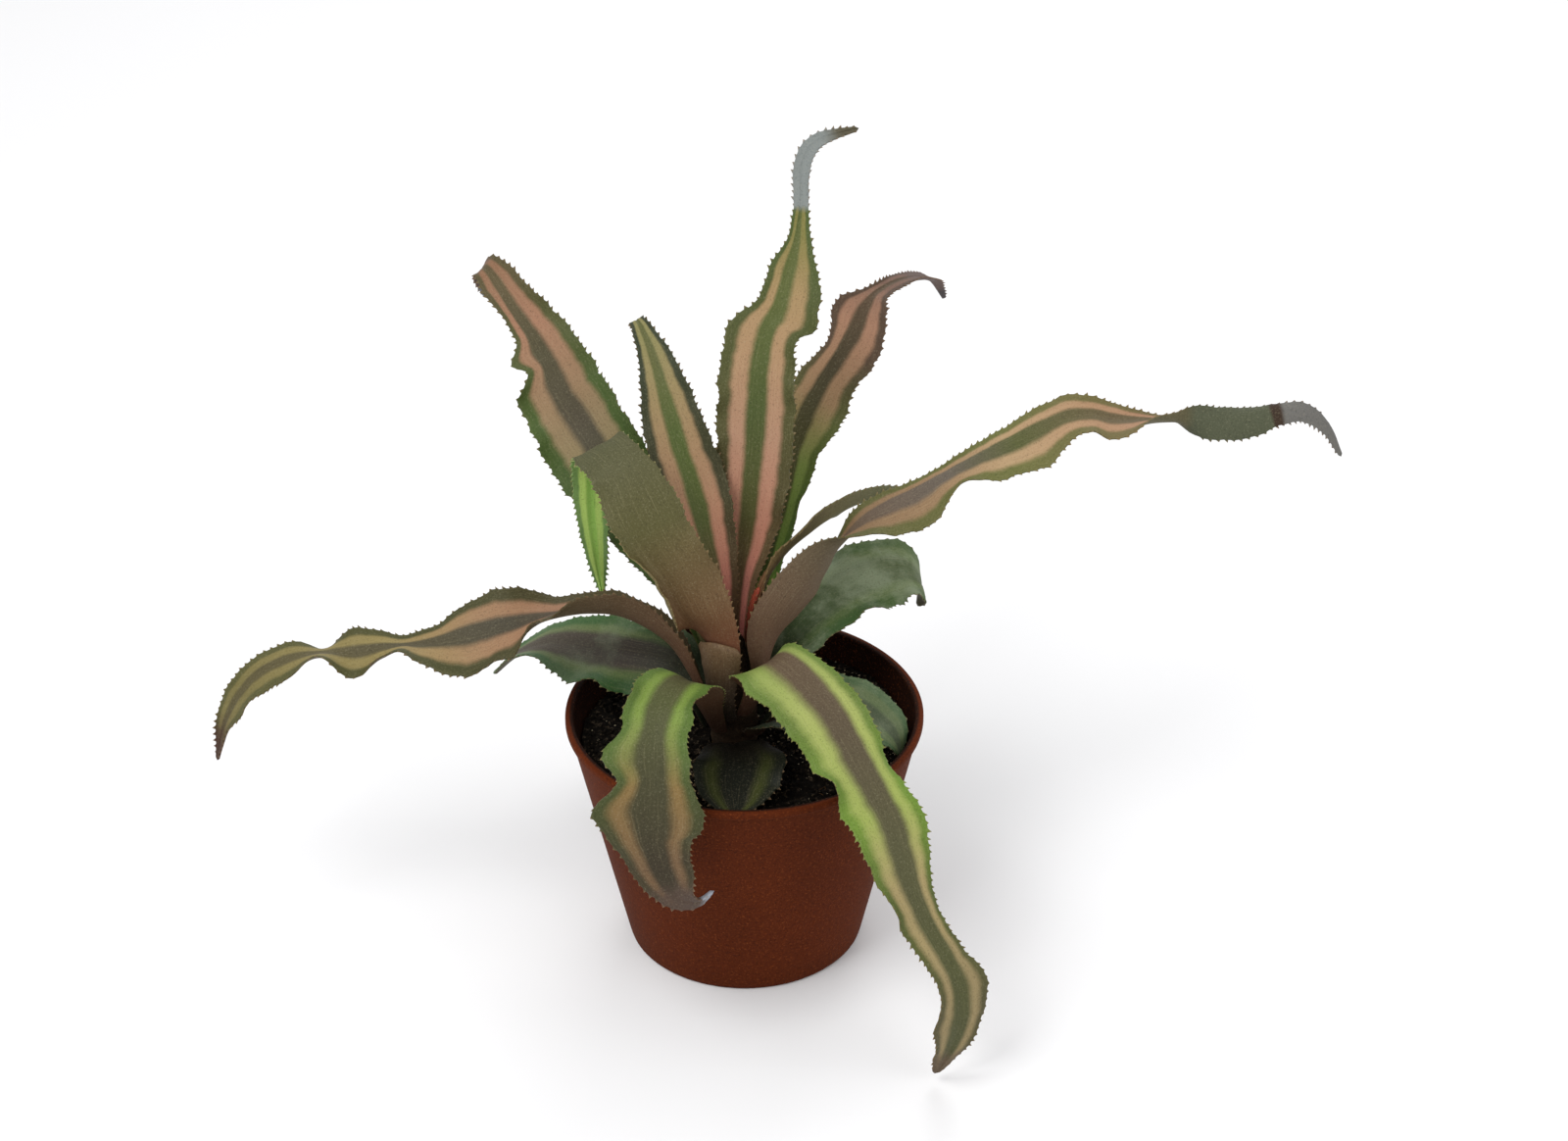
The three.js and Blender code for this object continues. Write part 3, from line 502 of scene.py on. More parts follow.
def lump(points, faces, place, size):
    """One small round lump: an octahedron split once, with its points pushed about."""
    start = len(points)
    corners = [Vector(corner) for corner in CORNERS]
    middles = {}
    for a, b, c in OCTAHEDRON:
        for pair in ((a, b), (b, c), (c, a)):
            key = tuple(sorted(pair))
            if key not in middles:
                middles[key] = len(corners)
                corners.append(((corners[pair[0]] + corners[pair[1]]) / 2).normalized())
        ab, bc, ca = (start + middles[tuple(sorted(pair))] for pair in ((a, b), (b, c), (c, a)))
        a, b, c = start + a, start + b, start + c
        faces += [(a, ab, ca), (ab, b, bc), (ca, bc, c), (ab, bc, ca)]
    for corner in corners:
        x, y, z = corner * size * draw.uniform(0.7, 1.2)
        points.append((place[0] + x, place[1] + y, place[2] + FLATTENED * z))


def spot_on_soil(lean):
    """A random place on the soil; a larger lean draws it to the right and to the back."""
    while True:
        angle = draw.uniform(0, 2 * math.pi)
        radius = (soil_edge - EDGE_CLEAR) * math.sqrt(draw.random())
        x, y = radius * math.cos(angle), radius * math.sin(angle)
        far = math.hypot(x - STEM_X, y - STEM_Y) > STEM_CLEAR
        if far and draw.random() < 1 - lean + lean * (0.5 + 0.5 * math.sin(angle + LEAN_TURN)) ** 2:
            return x, y


def scatter(name, count, lean, finish):
    points, faces = [], []
    for _ in range(count):
        x, y = spot_on_soil(lean)
        size = draw.uniform(*GRAIN_SIZES[name])
        lump(points, faces, (x, y, crumbled(x, y) + SETTLED * size), size)
    add_piece(name, points, faces, finish, (), 80.0)


def fibre(points, faces):
    """One thin bent tube with four sides, lying on the soil."""
    x, y = spot_on_soil(0.5)
    heading, bend = draw.uniform(0, 2 * math.pi), draw.uniform(-0.5, 0.5)
    for k in range(FIBRE_STEPS):
        heading += bend
        x, y = x + FIBRE_STEP * math.cos(heading), y + FIBRE_STEP * math.sin(heading)
        side = Vector((-math.sin(heading), math.cos(heading), 0))
        level = crumbled(x, y) + FIBRE_LIFT
        for a in range(4):
            turned = math.pi / 2 * a
            shift = FIBRE_RADIUS * math.cos(turned) * side
            points.append((x + shift.x, y + shift.y, level + FIBRE_RADIUS * math.sin(turned)))
            if k:
                here, back, b = len(points) - 1, len(points) - 5, (a + 1) % 4
                faces.append((back, back - a + b, here - a + b, here))


def plain_grain(name, dark, pale):
    finish, tree, shader, place = new_finish(name, 0.95, 0.05)
    feed(tree, shader.inputs["Base Color"], mix(tree, grain(tree, place, 500.0, 3.0), dark, pale))
    return finish


pale_grain = plain_grain("fleck", screen(84, 74, 58), screen(180, 168, 142))
brown_thread = plain_grain("fibre", screen(40, 26, 16), screen(92, 66, 42))
scatter("soil_crumbs", CRUMB_COUNT, 0.2, peat)
scatter("soil_flecks", FLECK_COUNT, 0.96, pale_grain)
points, faces = [], []
for _ in range(FIBRE_COUNT):
    fibre(points, faces)
add_piece("soil_fibres", points, faces, brown_thread)
print("loose bits:", CRUMB_COUNT + FLECK_COUNT + FIBRE_COUNT)

# %% [markdown]
# The stem is a short stump ringed by the scars of shed leaves, hidden by the leaf bases except in front.
# A turned profile with a scar at every few millimetres is enough, roughened by noise.

# %% Stem
STEM_SIDES = 64
STEM_ROWS = 60
SCAR_DEPTH = 0.4
SCAR_PITCH = 4.6


def stem_radius(z):
    t = max(0.0, (z - STEM_SHOULDER) / (STEM_TOP - STEM_SHOULDER))
    return STEM_RADIUS * math.sqrt(1 - STEM_ROUNDING * t ** 1.5)


stem_profile = [(0, STEM_FOOT)]
for z in np.linspace(STEM_FOOT, STEM_TOP, STEM_ROWS):
    scar = SCAR_DEPTH * (0.5 - 0.5 * math.cos(2 * math.pi * (z - STEM_FOOT) / SCAR_PITCH))
    stem_profile.append((stem_radius(z) - scar, z))
stem_profile.append((0, STEM_TOP))
stem_points, stem_faces = turn(stem_profile, STEM_SIDES)
stem_points += (STEM_X, STEM_Y, 0)
bark, tree, shader, place = new_finish("stem", 0.85, 0.1)
# The dark browns are the stem's own colour with painted shade from the leaves over it.
drift = mix(tree, grain(tree, place, 220.0, 4.0), screen(26, 20, 14), screen(58, 44, 30))
light, dark = (screen(96, 78, 56), 0.3), (screen(12, 9, 6), 0.6)
paint_grained(tree, shader, drift, place, 1200.0, light, dark, 0.7, 0.5 * MM)
add_piece("stem_stump", stem_points, stem_faces, bark, ["stem"])
print("stem from", STEM_FOOT, "to", STEM_TOP, "mm")

# %% [markdown]
# Each leaf is a row of stations from its base on the stem out to its tip. A station holds the midrib's
# place, the half widths on the left and on the right (seen from the base), the roll of the blade about
# its midrib and the cup of its two sides, in degrees. The numbers are in millimetres, and they were set
# against the picture.

# %% Leaf stations
STATIONS = {
    "long_left": [
        [-11.2, -2.4, 76, 3.5, 3.5, 0, 45], [-13, -2.8, 84, 4.5, 4.5, 0, 45], [-15.5, -3, 91, 6, 6, 0, 48],
        [-22, -1.2, 101, 9, 9, 2, 55], [-34, 0, 108.5, 12, 12, 12, 60], [-45, 0, 110, 12, 12, 12, 50],
        [-57, 0, 108, 13, 11.5, 0, 30], [-68, 0, 105.5, 13, 12, -38, 10],
        [-79, 0, 102.5, 14.5, 10, -50, 10], [-88, 0, 100, 12, 6, -35, 14], [-94, 0, 98.5, 9, 5.5, -18, 22],
        [-99, 0, 98, 7, 5.5, -2, 25], [-105, 0, 97.5, 8.5, 6, -28, 18], [-113, 0, 96, 8.7, 7.5, -50, 10],
        [-122, 0, 95.5, 7.8, 6, 0, 20], [-131, 0, 94, 7.5, 6, -30, 15], [-140, 0, 89.5, 7, 5, -50, 20],
        [-147, 0, 82, 6, 4.8, -55, 25], [-152, 0, 72, 4, 3.8, -55, 35], [-156, 0, 58, 0.6, 0.6, -45, 40],
    ],
    "long_right": [
        [5.2, -1, 84, 4, 3.8, 0, 38], [6.8, -1.5, 96, 7, 7, -10, 42], [9, -2, 106, 8, 8.5, -40, 35],
        [14, -1.5, 115, 8, 8.5, -50, 35], [20.5, 0.5, 123, 8, 8.5, -40, 35],
        [28, 3, 131.5, 6.5, 8.5, -5, 38], [34.5, 4, 138, 5.5, 9, 30, 32],
        [41.5, 5, 142.5, 4.5, 11.5, 45, 12], [50, 6, 147, 3.5, 13.5, 45, 10],
        [58, 7, 151.5, 3.5, 9.5, 42, 16], [66, 7.5, 156, 4.5, 9.2, 42, 16], [75, 8, 161, 5, 12, 46, 10],
        [83, 9, 165, 6, 12.5, 50, 6], [91, 10, 168, 7.5, 8, 46, 10], [98, 11, 168.5, 6, 8, 45, 18],
        [105, 11, 167, 5.5, 8.5, 40, 25], [113, 12, 166, 4, 6, 18, 38], [121, 12.5, 166, 3, 3.5, -15, 42],
        [128, 13.5, 165.5, 5, 4, -75, 36], [136, 14, 164.5, 5.2, 4.5, -108, 30],
        [144, 15, 164.5, 4.8, 4.3, -110, 30], [151, 16, 166, 3.4, 3.2, -110, 30],
        [159, 17, 166, 2.8, 2.8, -110, 30], [166, 18, 160.5, 2, 2, -110, 30],
        [171, 18, 151, 0.6, 0.6, -110, 30],
    ],
    "back_left": [
        [-8.5, 4.4, 84, 3, 4.5, 0, 45], [-11, 8, 96, 4.5, 8, 0, 38], [-14.5, 12.5, 107, 8, 9, -10, 30],
        [-20, 18, 116, 10, 10, -20, 25], [-30, 26, 127.5, 12.5, 11.5, -30, 15],
        [-41, 34.5, 142, 15.2, 12.2, -35, 10], [-48, 41, 150, 14.4, 13, -35, 10],
        [-53, 45, 156, 12.8, 13, -35, 10], [-55.4, 47.6, 160, 12, 12.6, -35, 10],
        [-57.8, 50, 163.8, 6, 12.2, -35, 10], [-59.8, 52.2, 167, 9.4, 11.4, -35, 10],
        [-62.6, 54.8, 171, 4.8, 10.2, -35, 10], [-67.5, 59, 176.5, 3.6, 9, -35, 15],
        [-72, 64.3, 182.4, 5, 6.6, -35, 20], [-76, 71, 184.5, 4, 4.5, -35, 20],
        [-78, 75, 180, 3, 3, -35, 25], [-77, 77, 172, 0.6, 0.6, -35, 25],
    ],
    "slim_upright": [
        [-5.9, 4.2, 96, 3.2, 3.2, 0, 42], [-7, 5.8, 106, 5, 5, 0, 42], [-8, 7, 116, 7, 6.5, -5, 36],
        [-10.8, 8.2, 129, 8.8, 8.8, -12, 26], [-14, 11, 143, 9.8, 10, -18, 18],
        [-18, 15, 155.5, 9.8, 9.4, -22, 15], [-22.5, 21.5, 169, 6.8, 7.6, -25, 15],
        [-25, 27, 176, 4.6, 5.8, -25, 20], [-28, 33, 182, 3.2, 3.4, -25, 25],
        [-30.5, 39, 183.5, 2, 2, -25, 25], [-31, 44, 177, 0.6, 0.6, -25, 30],
    ],
    "tall_centre": [
        [-2.8, 5.9, 92, 4, 4, 0, 42], [-2.2, 8.8, 104, 6, 4.5, 0, 36], [-1.2, 12.5, 114, 7, 5.5, 0, 28],
        [0.5, 15.5, 125.5, 8.5, 8.5, 0, 20], [2, 15.5, 143, 9.5, 11, 0, 14],
        [3.5, 17, 159, 11.2, 11, 0, 10], [4.5, 20, 174, 11.5, 10.4, 0, 10],
        [5.4, 22.6, 181, 11.4, 9.4, 0, 10], [7, 25.6, 187.5, 10.8, 9, 0, 10],
        [8.8, 28, 191.5, 6.8, 12.8, 0, 10], [10.4, 30, 195.2, 5.6, 12.4, 0, 12],
        [12.8, 35, 202, 5.2, 9, 0, 15], [15, 40, 208.5, 2.6, 4.5, 0, 20], [16.2, 46, 214.5, 2, 2.4, 0, 30],
        [16.5, 50, 218, 2.2, 2.2, 0, 30], [17, 57, 225, 2.4, 2.5, 0, 30], [21.5, 61, 230, 2.2, 2.2, 0, 30],
        [33, 65, 232, 0.6, 0.6, 0, 30],
    ],
    "back_right": [
        [0.8, 6.2, 80, 4, 4, 0, 45], [2.8, 10, 93, 5.5, 5, 0, 40], [5, 15, 105, 7, 5, 0, 36],
        [7.5, 20.5, 117, 8, 5, 5, 28], [11.5, 28, 129.5, 9, 6, 8, 20], [14.5, 36, 143, 9.5, 8, 12, 12],
        [18, 42.5, 152, 8, 11, 15, 10], [23.5, 50, 159, 7.2, 10, 15, 10], [29, 57.5, 165.5, 5, 11, 15, 10],
        [33, 63.5, 169.5, 8.4, 9, 15, 14], [35.5, 68.5, 172.5, 8, 7, 15, 20],
        [38.5, 74, 174.5, 3.2, 4.2, 15, 22], [45, 83, 174, 2.8, 3, 12, 25], [52, 94, 170, 3, 3.2, 0, 30],
        [57, 102, 165, 2.6, 2.6, 0, 30], [61, 110, 155, 0.6, 0.6, 0, 30],
    ],
    "edge_on": [
        [2.7, 2.7, 92, 2.2, 2.2, 0, 36], [4, 3.3, 103, 2.8, 3, 0, 36], [4.8, 4.2, 112, 2.8, 3.4, -8, 30],
        [6.6, 4.6, 118.5, 3.5, 4.5, -25, 25], [10, 6.4, 123.5, 4, 5.5, -40, 20],
        [15.8, 10, 128.5, 5.5, 6.5, -50, 15], [24.9, 17.5, 132, 6, 6.5, -50, 15],
        [34.4, 25, 132.6, 6, 6, -40, 15], [43, 31, 130.5, 5, 5, -25, 15], [50, 36, 125, 3.5, 3.5, 0, 15],
        [55, 39, 117, 0.6, 0.6, 0, 20],
    ],
    "low_right": [
        [3.6, 4.6, 72, 3.5, 3.5, 0, 42], [8, 8, 84, 7, 7, 0, 38], [15, 13, 94.5, 10.5, 10.5, 3, 22],
        [25, 20.5, 101, 12, 12, 10, 10], [34, 26.5, 104.5, 12.5, 13, 14, 5],
        [43, 30.5, 105.5, 12, 12.5, 14, 5], [49, 32.2, 103.5, 11.5, 10.5, 12, 6],
        [52, 33, 99.5, 9.5, 7.5, 8, 10], [52.4, 33.2, 95, 6.5, 4.5, 0, 15],
        [51.5, 33.2, 91, 0.6, 0.6, 0, 20],
    ],
    "low_left": [
        [-11.1, 1.2, 71, 4, 4, 0, 40], [-15, 3.3, 80.5, 7.5, 6, 0, 32], [-22, 8, 86.5, 12, 12, -15, 15],
        [-34, 13, 87, 14, 12, -20, 10], [-46, 18, 86, 14, 12, -20, 10], [-58, 23, 84, 8.5, 10, -10, 15],
        [-68, 27, 78, 5, 6, 0, 20], [-76, 30, 69, 0.6, 0.6, 0, 20],
    ],
    "low_back": [
        [-4.5, 7.6, 71, 3.8, 3.5, 0, 38], [-4.6, 12.5, 86, 6, 7.5, 0, 32],
        [-5, 22.5, 98.5, 10.5, 10.5, 0, 17], [-6, 36, 104, 12, 12, 0, 10], [-8, 51, 100.5, 12, 12, 5, 10],
        [-9, 64, 92, 9, 9, 5, 15], [-9, 73, 82, 5, 5, 0, 20], [-9, 79, 71, 0.6, 0.6, 0, 20],
    ],
    "front_left": [
        [-7.9, -8, 74, 3.2, 3.5, 0, 42], [-11.2, -13.2, 86, 5.5, 5.5, 0, 34], [-14, -19, 97, 9, 8.5, 0, 26],
        [-18, -28, 104, 9.2, 8.8, 0, 16], [-22.5, -38.5, 103.5, 10, 10, -4, 11],
        [-24.5, -46, 99, 9.4, 9.6, -7, 10], [-25, -50, 94.5, 10.2, 13.8, -9, 10],
        [-25, -54.2, 87.5, 11.5, 10.2, -10, 10], [-25.3, -57.4, 81.5, 14, 16, -10, 10],
        [-25.3, -59.2, 77, 15, 15, -10, 11], [-25, -61, 71.5, 11.5, 10, -10, 13],
        [-22.5, -62, 63.5, 8.8, 7.6, -5, 18], [-18.5, -62.5, 55.5, 7, 5, 8, 25],
        [-13, -61.5, 52.5, 4.5, 3.5, 20, 30], [-8, -60, 55, 0.6, 0.6, 40, 30],
    ],
    "front_right": [
        [0.9, -8, 80, 3.6, 3.4, 0, 40], [3.5, -11.5, 91, 7, 4, 0, 38], [6, -15, 100.5, 8, 12, 8, 24],
        [10.5, -18.5, 106, 6.5, 17, 20, 14], [15.5, -23, 105.5, 6.5, 18, 22, 8],
        [21.5, -29.5, 101.5, 8.5, 16, 20, 8], [27.5, -37, 96, 9, 15.5, 18, 10],
        [32, -44, 90.5, 8.5, 15, 18, 10], [37, -51, 84, 8, 13.5, 20, 10], [42, -58, 76, 9.5, 12, 20, 10],
        [45, -63.5, 68, 8, 11.5, 20, 10], [48.5, -68.5, 59, 5.5, 10, 20, 10],
        [53, -72.5, 50, 4.8, 7.5, 20, 10], [57.5, -75.5, 42, 6, 6.5, 20, 10],
        [60.5, -78, 33.5, 9.5, 6.5, 20, 10], [61, -79, 24, 7.2, 8.6, 25, 12],
        [58.5, -78, 13, 5, 5.5, 30, 15], [54.5, -77, 3, 0.8, 0.8, 30, 20],
    ],
    "short_front": [
        [-5.3, -9.4, 79, 3.4, 3.4, 0, 38], [-6.9, -12.2, 88, 4.4, 4.4, 0, 40],
        [-8, -12.8, 96, 6.9, 7, 0, 44], [-8.2, -12.4, 102, 7.6, 7.6, 0, 42],
        [-8.2, -11.8, 105, 6.4, 6.4, 0, 38], [-8.2, -11.4, 106.6, 0.6, 0.6, 0, 34],
    ],
    "arched": [
        [-5.4, -8, 89, 2.8, 2.8, 0, 34], [-6.2, -8.6, 98, 6, 6, 5, 42], [-8.8, -9.4, 108, 8, 8, 20, 30],
        [-13, -11, 117.5, 10, 10.5, 40, 18], [-17.5, -11, 129, 10, 10.5, 52, 12],
        [-23, -9.5, 138, 10, 10.5, 60, 10], [-28.5, -6.5, 149.5, 10, 10.5, 65, 10],
        [-31.8, -2.5, 156, 8, 10, 65, 10], [-35.5, 2, 159.5, 7, 9.5, 70, 10],
        [-40, 8, 159.5, 7, 8.6, 78, 10], [-43, 13, 153.5, 6.5, 6.4, 104, 10],
        [-44, 15, 136, 5, 4.4, 124, 10], [-43, 16, 120, 3.4, 3, 130, 10],
        [-41.5, 17, 105, 0.6, 0.6, 130, 10],
    ],
    "on_soil_front": [
        [-3.2, -9.5, 70, 3.5, 3.5, 0, 30], [-2.2, -16.5, 73.5, 10, 10, 0, 10], [-1, -26, 75, 13, 13, 0, 0],
        [-2, -34, 73, 12, 12, 0, 0], [-2, -41, 71, 7, 7, 0, 0], [-2, -46, 70, 0.6, 0.6, 0, 0],
    ],
    "small_front": [
        [2, -8.5, 72.4, 2.2, 2, 0, 36], [4.6, -12.6, 78, 3, 4.5, 0, 20], [8.5, -16, 82, 4.5, 5.5, 0, 5],
        [12.5, -18.5, 82.5, 4, 4, 0, 5], [16.5, -21, 80, 0.6, 0.6, 0, 5],
    ],
    "low_front_right": [
        [4.9, -3.8, 71, 3.5, 3, 0, 42], [11, -5.3, 80, 6.5, 4.5, 0, 32], [18, -7, 85, 9, 7.5, 0, 20],
        [27, -9, 86, 11, 11, 0, 10], [36, -11.5, 83, 11, 11, 5, 5], [43, -14, 77, 8, 8, 5, 10],
        [45, -17, 71, 0.6, 0.6, 0, 10],
    ],
    "heart": [
        [1.2, -0.8, 100, 1.4, 1.4, 0, 38], [2, -0.5, 107, 1.6, 1.3, 0, 34], [3, -0.3, 113, 1.6, 1.2, 0, 34],
        [4.5, -0.3, 118.5, 0.6, 0.6, 0, 34],
    ],
}
print("leaves:", len(STATIONS), "with", sum(len(rows) for rows in STATIONS.values()), "stations")

# %% [markdown]
# The margins of these leaves lift and sink in long waves. For each leaf one list gives the waves of its
# left margin and one those of its right, as marks with a place along the leaf and an angle in degrees. A
# leaf that isn't listed lies calm, and so does a margin with an empty list.

# %% Leaf ruffles
RUFFLES = {
    "long_left": (
        [[0.2, 0], [0.34, -20], [0.44, 20], [0.54, -20], [0.64, 20], [0.76, -15], [0.86, 0]],
        [[0.3, 0], [0.4, 25], [0.5, -20], [0.58, 20], [0.7, -20], [0.82, 0]],
    ),
    "long_right": (
        [[0.25, 0], [0.34, 25], [0.42, 15], [0.48, 25], [0.6, 0]],
        [[0.25, 0], [0.34, -15], [0.42, 20], [0.5, -10], [0.62, 0]],
    ),
    "back_left": (
        [[0.3, 0], [0.5, 0], [0.56, 20], [0.62, -10], [0.68, 25], [0.73, -20], [0.8, 0]],
        [[0.3, 0], [0.42, -20], [0.55, 10], [0.68, -15], [0.8, 0]],
    ),
    "slim_upright": (
        [[0.3, 0], [0.5, 15], [0.7, -10], [0.85, 0]],
        [[0.3, 0], [0.45, -15], [0.6, 15], [0.75, -10], [0.9, 0]],
    ),
    "tall_centre": (
        [[0.3, 0], [0.45, 15], [0.55, -10], [0.62, 0], [0.7, 20], [0.76, 0]],
        [[0.25, 0], [0.35, -12], [0.45, -15], [0.56, -20], [0.63, 10], [0.72, -15], [0.8, 0]],
    ),
    "back_right": (
        [[0.3, 0], [0.5, 15], [0.6, -15], [0.68, 15], [0.8, 0]],
        [[0.2, 0], [0.3, 25], [0.4, 10], [0.47, -20], [0.55, 0], [0.64, 15], [0.72, 0]],
    ),
    "edge_on": (
        [[0.3, 0], [0.55, 15], [0.75, -15], [0.9, 0]],
        [[0.3, 0], [0.5, -15], [0.7, 15], [0.9, 0]],
    ),
    "low_right": (
        [[0.25, 0], [0.45, 25], [0.6, -20], [0.8, 0]],
        [[0.25, 0], [0.4, -25], [0.55, 30], [0.7, -20], [0.85, 0]],
    ),
    "low_left": (
        [[0.22, 0], [0.34, -40], [0.46, 15], [0.58, -35], [0.72, 15], [0.85, 0]],
        [[0.25, 0], [0.45, 15], [0.6, -15], [0.8, 0]],
    ),
    "low_back": (
        [[0.25, 0], [0.4, 25], [0.55, -25], [0.7, 20], [0.85, 0]],
        [[0.25, 0], [0.35, -20], [0.5, 25], [0.65, -20], [0.8, 0]],
    ),
    "front_left": (
        [[0.3, 0], [0.42, 30], [0.5, -20], [0.58, 30], [0.7, -20], [0.85, 10]],
        [[0.3, -20], [0.42, 30], [0.5, -30], [0.62, 20], [0.75, -30], [0.85, 10]],
    ),
    "front_right": (
        [[0.25, 0], [0.33, 25], [0.42, -20], [0.52, 25], [0.63, -20], [0.72, 15], [0.85, -10]],
        [[0.25, 0], [0.33, -25], [0.42, 25], [0.5, -20], [0.62, 25], [0.72, -15], [0.85, 10]],
    ),
    "arched": (
        [],
        [[0.12, 0], [0.2, -132], [0.31, -146], [0.41, -50], [0.48, 0]],
    ),
    "on_soil_front": (
        [[0.3, 0], [0.5, 20], [0.7, 0]],
        [[0.3, 0], [0.6, 20], [0.8, 0]],
    ),
    "low_front_right": (
        [[0.3, 0], [0.5, 20], [0.7, -10], [0.85, 0]],
        [[0.3, 0], [0.55, -15], [0.75, 10], [0.9, 0]],
    ),
}
print("ruffled leaves:", len(RUFFLES))

# %% [markdown]
# A blade is grown from its stations in the same steps as a gardener would describe it. A smooth run passes
# through the stations, even rings are laid along it, and each ring's cross-section goes out from the
# midrib to both margins, tilting as it goes by the cup and by the ruffle. Numpy does a whole leaf at once.

# %% Leaf run and frames
RING_PITCH = 1.0
SPLINE_STEPS = 24
STRIPS = 9
FRILL_FROM = 0.3


def ease_in(values, low, high):
    t = np.clip((values - low) / (high - low), 0, 1)
    return t * t * (3 - 2 * t)


def smooth_run(stations):
    rows = np.array(stations, dtype=float)
    rows = np.vstack([2 * rows[0] - rows[1], rows, 2 * rows[-1] - rows[-2]])
    a, b, c, d = (part[:, None, :] for part in (rows[:-3], rows[1:-2], rows[2:-1], rows[3:]))
    t = (np.arange(SPLINE_STEPS) / SPLINE_STEPS)[None, :, None]
    curve = (2 * a - 5 * b + 4 * c - d) * t ** 2 + (3 * b - a - 3 * c + d) * t ** 3
    samples = 0.5 * (2 * b + (c - a) * t + curve)
    return np.vstack([samples.reshape(-1, rows.shape[1]), rows[-2]])


def even_run(stations, pitch):
    samples = smooth_run(stations)
    steps = np.linalg.norm(np.diff(samples[:, :3], axis=0), axis=1)
    along = np.concatenate([[0], np.cumsum(steps)])
    count = max(6, round(along[-1] / pitch))
    targets = np.linspace(0, along[-1], count + 1)
    return np.stack([np.interp(targets, along, column) for column in samples.T], 1), targets


def ruffle_angle(marks, places):
    """A soft wave through the listed (place, angle) marks, in degrees."""
    spots, angles = (np.array(column) for column in zip((0, 0), *marks, (1, 0)))
    i = np.clip(np.searchsorted(spots, places, side="right") - 1, 0, len(spots) - 2)
    t = (places - spots[i]) / np.maximum(spots[i + 1] - spots[i], 1e-9)
    return angles[i] + (angles[i + 1] - angles[i]) * (0.5 - 0.5 * np.cos(np.pi * t))


def blade_frames(rows):
    """For each ring the way ahead, the way across and the way up, carried along without needless twist."""
    places = rows[:, :3]
    ahead = np.empty_like(places)
    ahead[1:-1] = places[2:] - places[:-2]
    ahead[0], ahead[-1] = places[1] - places[0], places[-1] - places[-2]
    ahead /= np.linalg.norm(ahead, axis=1)[:, None]
    side = np.array([-ahead[0][1], ahead[0][0], 0])
    sides = []
    for way in ahead:
        side = side - way * side.dot(way)
        side /= np.linalg.norm(side)
        sides.append(side)
    sides = np.array(sides)
    rise = np.cross(ahead, sides)
    roll = np.radians(rows[:, 5])[:, None]
    across = np.cos(roll) * sides + np.sin(roll) * rise
    up = np.cos(roll) * rise - np.sin(roll) * sides
    return ahead, across, up


print("a long leaf has", len(even_run(STATIONS["long_left"], RING_PITCH)[1]), "rings")

# %% [markdown]
# A real blade is about a millimetre and a half thick along its midrib and thins to a sharp margin, with a
# shallow groove above the midrib. The margin is never quite still, so a short flutter of its own is laid
# on the long ruffle, and the blade's width comes and goes by a few parts in a hundred. Both grow in along
# the first third of the leaf, because the base is stiff.

# %% Leaf blade
MIDRIB_THICKNESS = 1.4
MARGIN_THICKNESS = 0.5
GROOVE_DEPTH = 0.35
GROOVE_WIDTH = 0.16
MARGIN_CALM = (0.1, 0.3)
FLUTTER_ANGLE = 22
FLUTTER_LENGTH = 19
FLUTTER_SPREAD = (0.8, 1.25)
FLUTTER_SWELL = 0.45
SWELL_PACE = 0.13
FLUTTER_DRIFT = 1.5
DRIFT_PACE = 0.05
NOTCH_DEPTH = 0.018
NOTCH_WAVES = ((0.9, 1, 1.0), (0.53, 3, 1.0), (1.7, 2, 0.6))


def margin_life(run, places, draw):
    """Along one margin, the angle of its short flutter and the share by which its width comes and goes."""
    phase, length = draw.uniform(0, 6), FLUTTER_LENGTH * draw.uniform(*FLUTTER_SPREAD)
    drift = FLUTTER_DRIFT * np.sin(run * DRIFT_PACE + phase)
    strength = 1 - FLUTTER_SWELL + FLUTTER_SWELL * np.sin(run * SWELL_PACE + 2 * phase)
    flutter = FLUTTER_ANGLE * strength * np.sin(2 * np.pi * run / length + phase + drift)
    notches = sum(size * np.sin(run * pace + turns * phase) for pace, turns, size in NOTCH_WAVES)
    awake = ease_in(places, *MARGIN_CALM)
    return flutter * awake, NOTCH_DEPTH * notches * awake


def blade_sections(rows, run, ruffles, draw):
    """The middle surface as rings and columns of points, its normals, and the way ahead at each ring."""
    ahead, across, up = blade_frames(rows)
    places = np.linspace(0, 1, len(rows))
    shares = np.linspace(0, 1, STRIPS + 1)
    left_marks, right_marks = ruffles
    sides = []
    for sign, width, marks in ((-1, rows[:, 4], right_marks), (1, rows[:, 3], left_marks)):
        flutter, notches = margin_life(run, places, draw)
        width = width * (1 + notches)
        lift = ruffle_angle(marks, places) + flutter
        spot = rows[:, :3].copy()
        points, normals = [], []
        for k in range(STRIPS):
            middle = (shares[k] + shares[k + 1]) / 2
            tilt = np.radians(rows[:, 6] * middle + lift * ease_in(middle, FRILL_FROM, 1))[:, None]
            spot = spot + (sign * np.cos(tilt) * across + np.sin(tilt) * up) * (width / STRIPS)[:, None]
            points.append(spot)
            normals.append(np.cos(tilt) * up - sign * np.sin(tilt) * across)
        sides.append((points, [a + b for a, b in zip(normals, normals[1:] + normals[-1:])]))
    right, left = sides
    points = right[0][::-1] + [rows[:, :3]] + left[0]
    normals = np.stack(right[1][::-1] + [up] + left[1], 1)
    return np.stack(points, 1), normals / np.linalg.norm(normals, axis=2)[:, :, None], ahead


print("margins flutter by up to", FLUTTER_ANGLE, "degrees over about", FLUTTER_LENGTH, "mm")

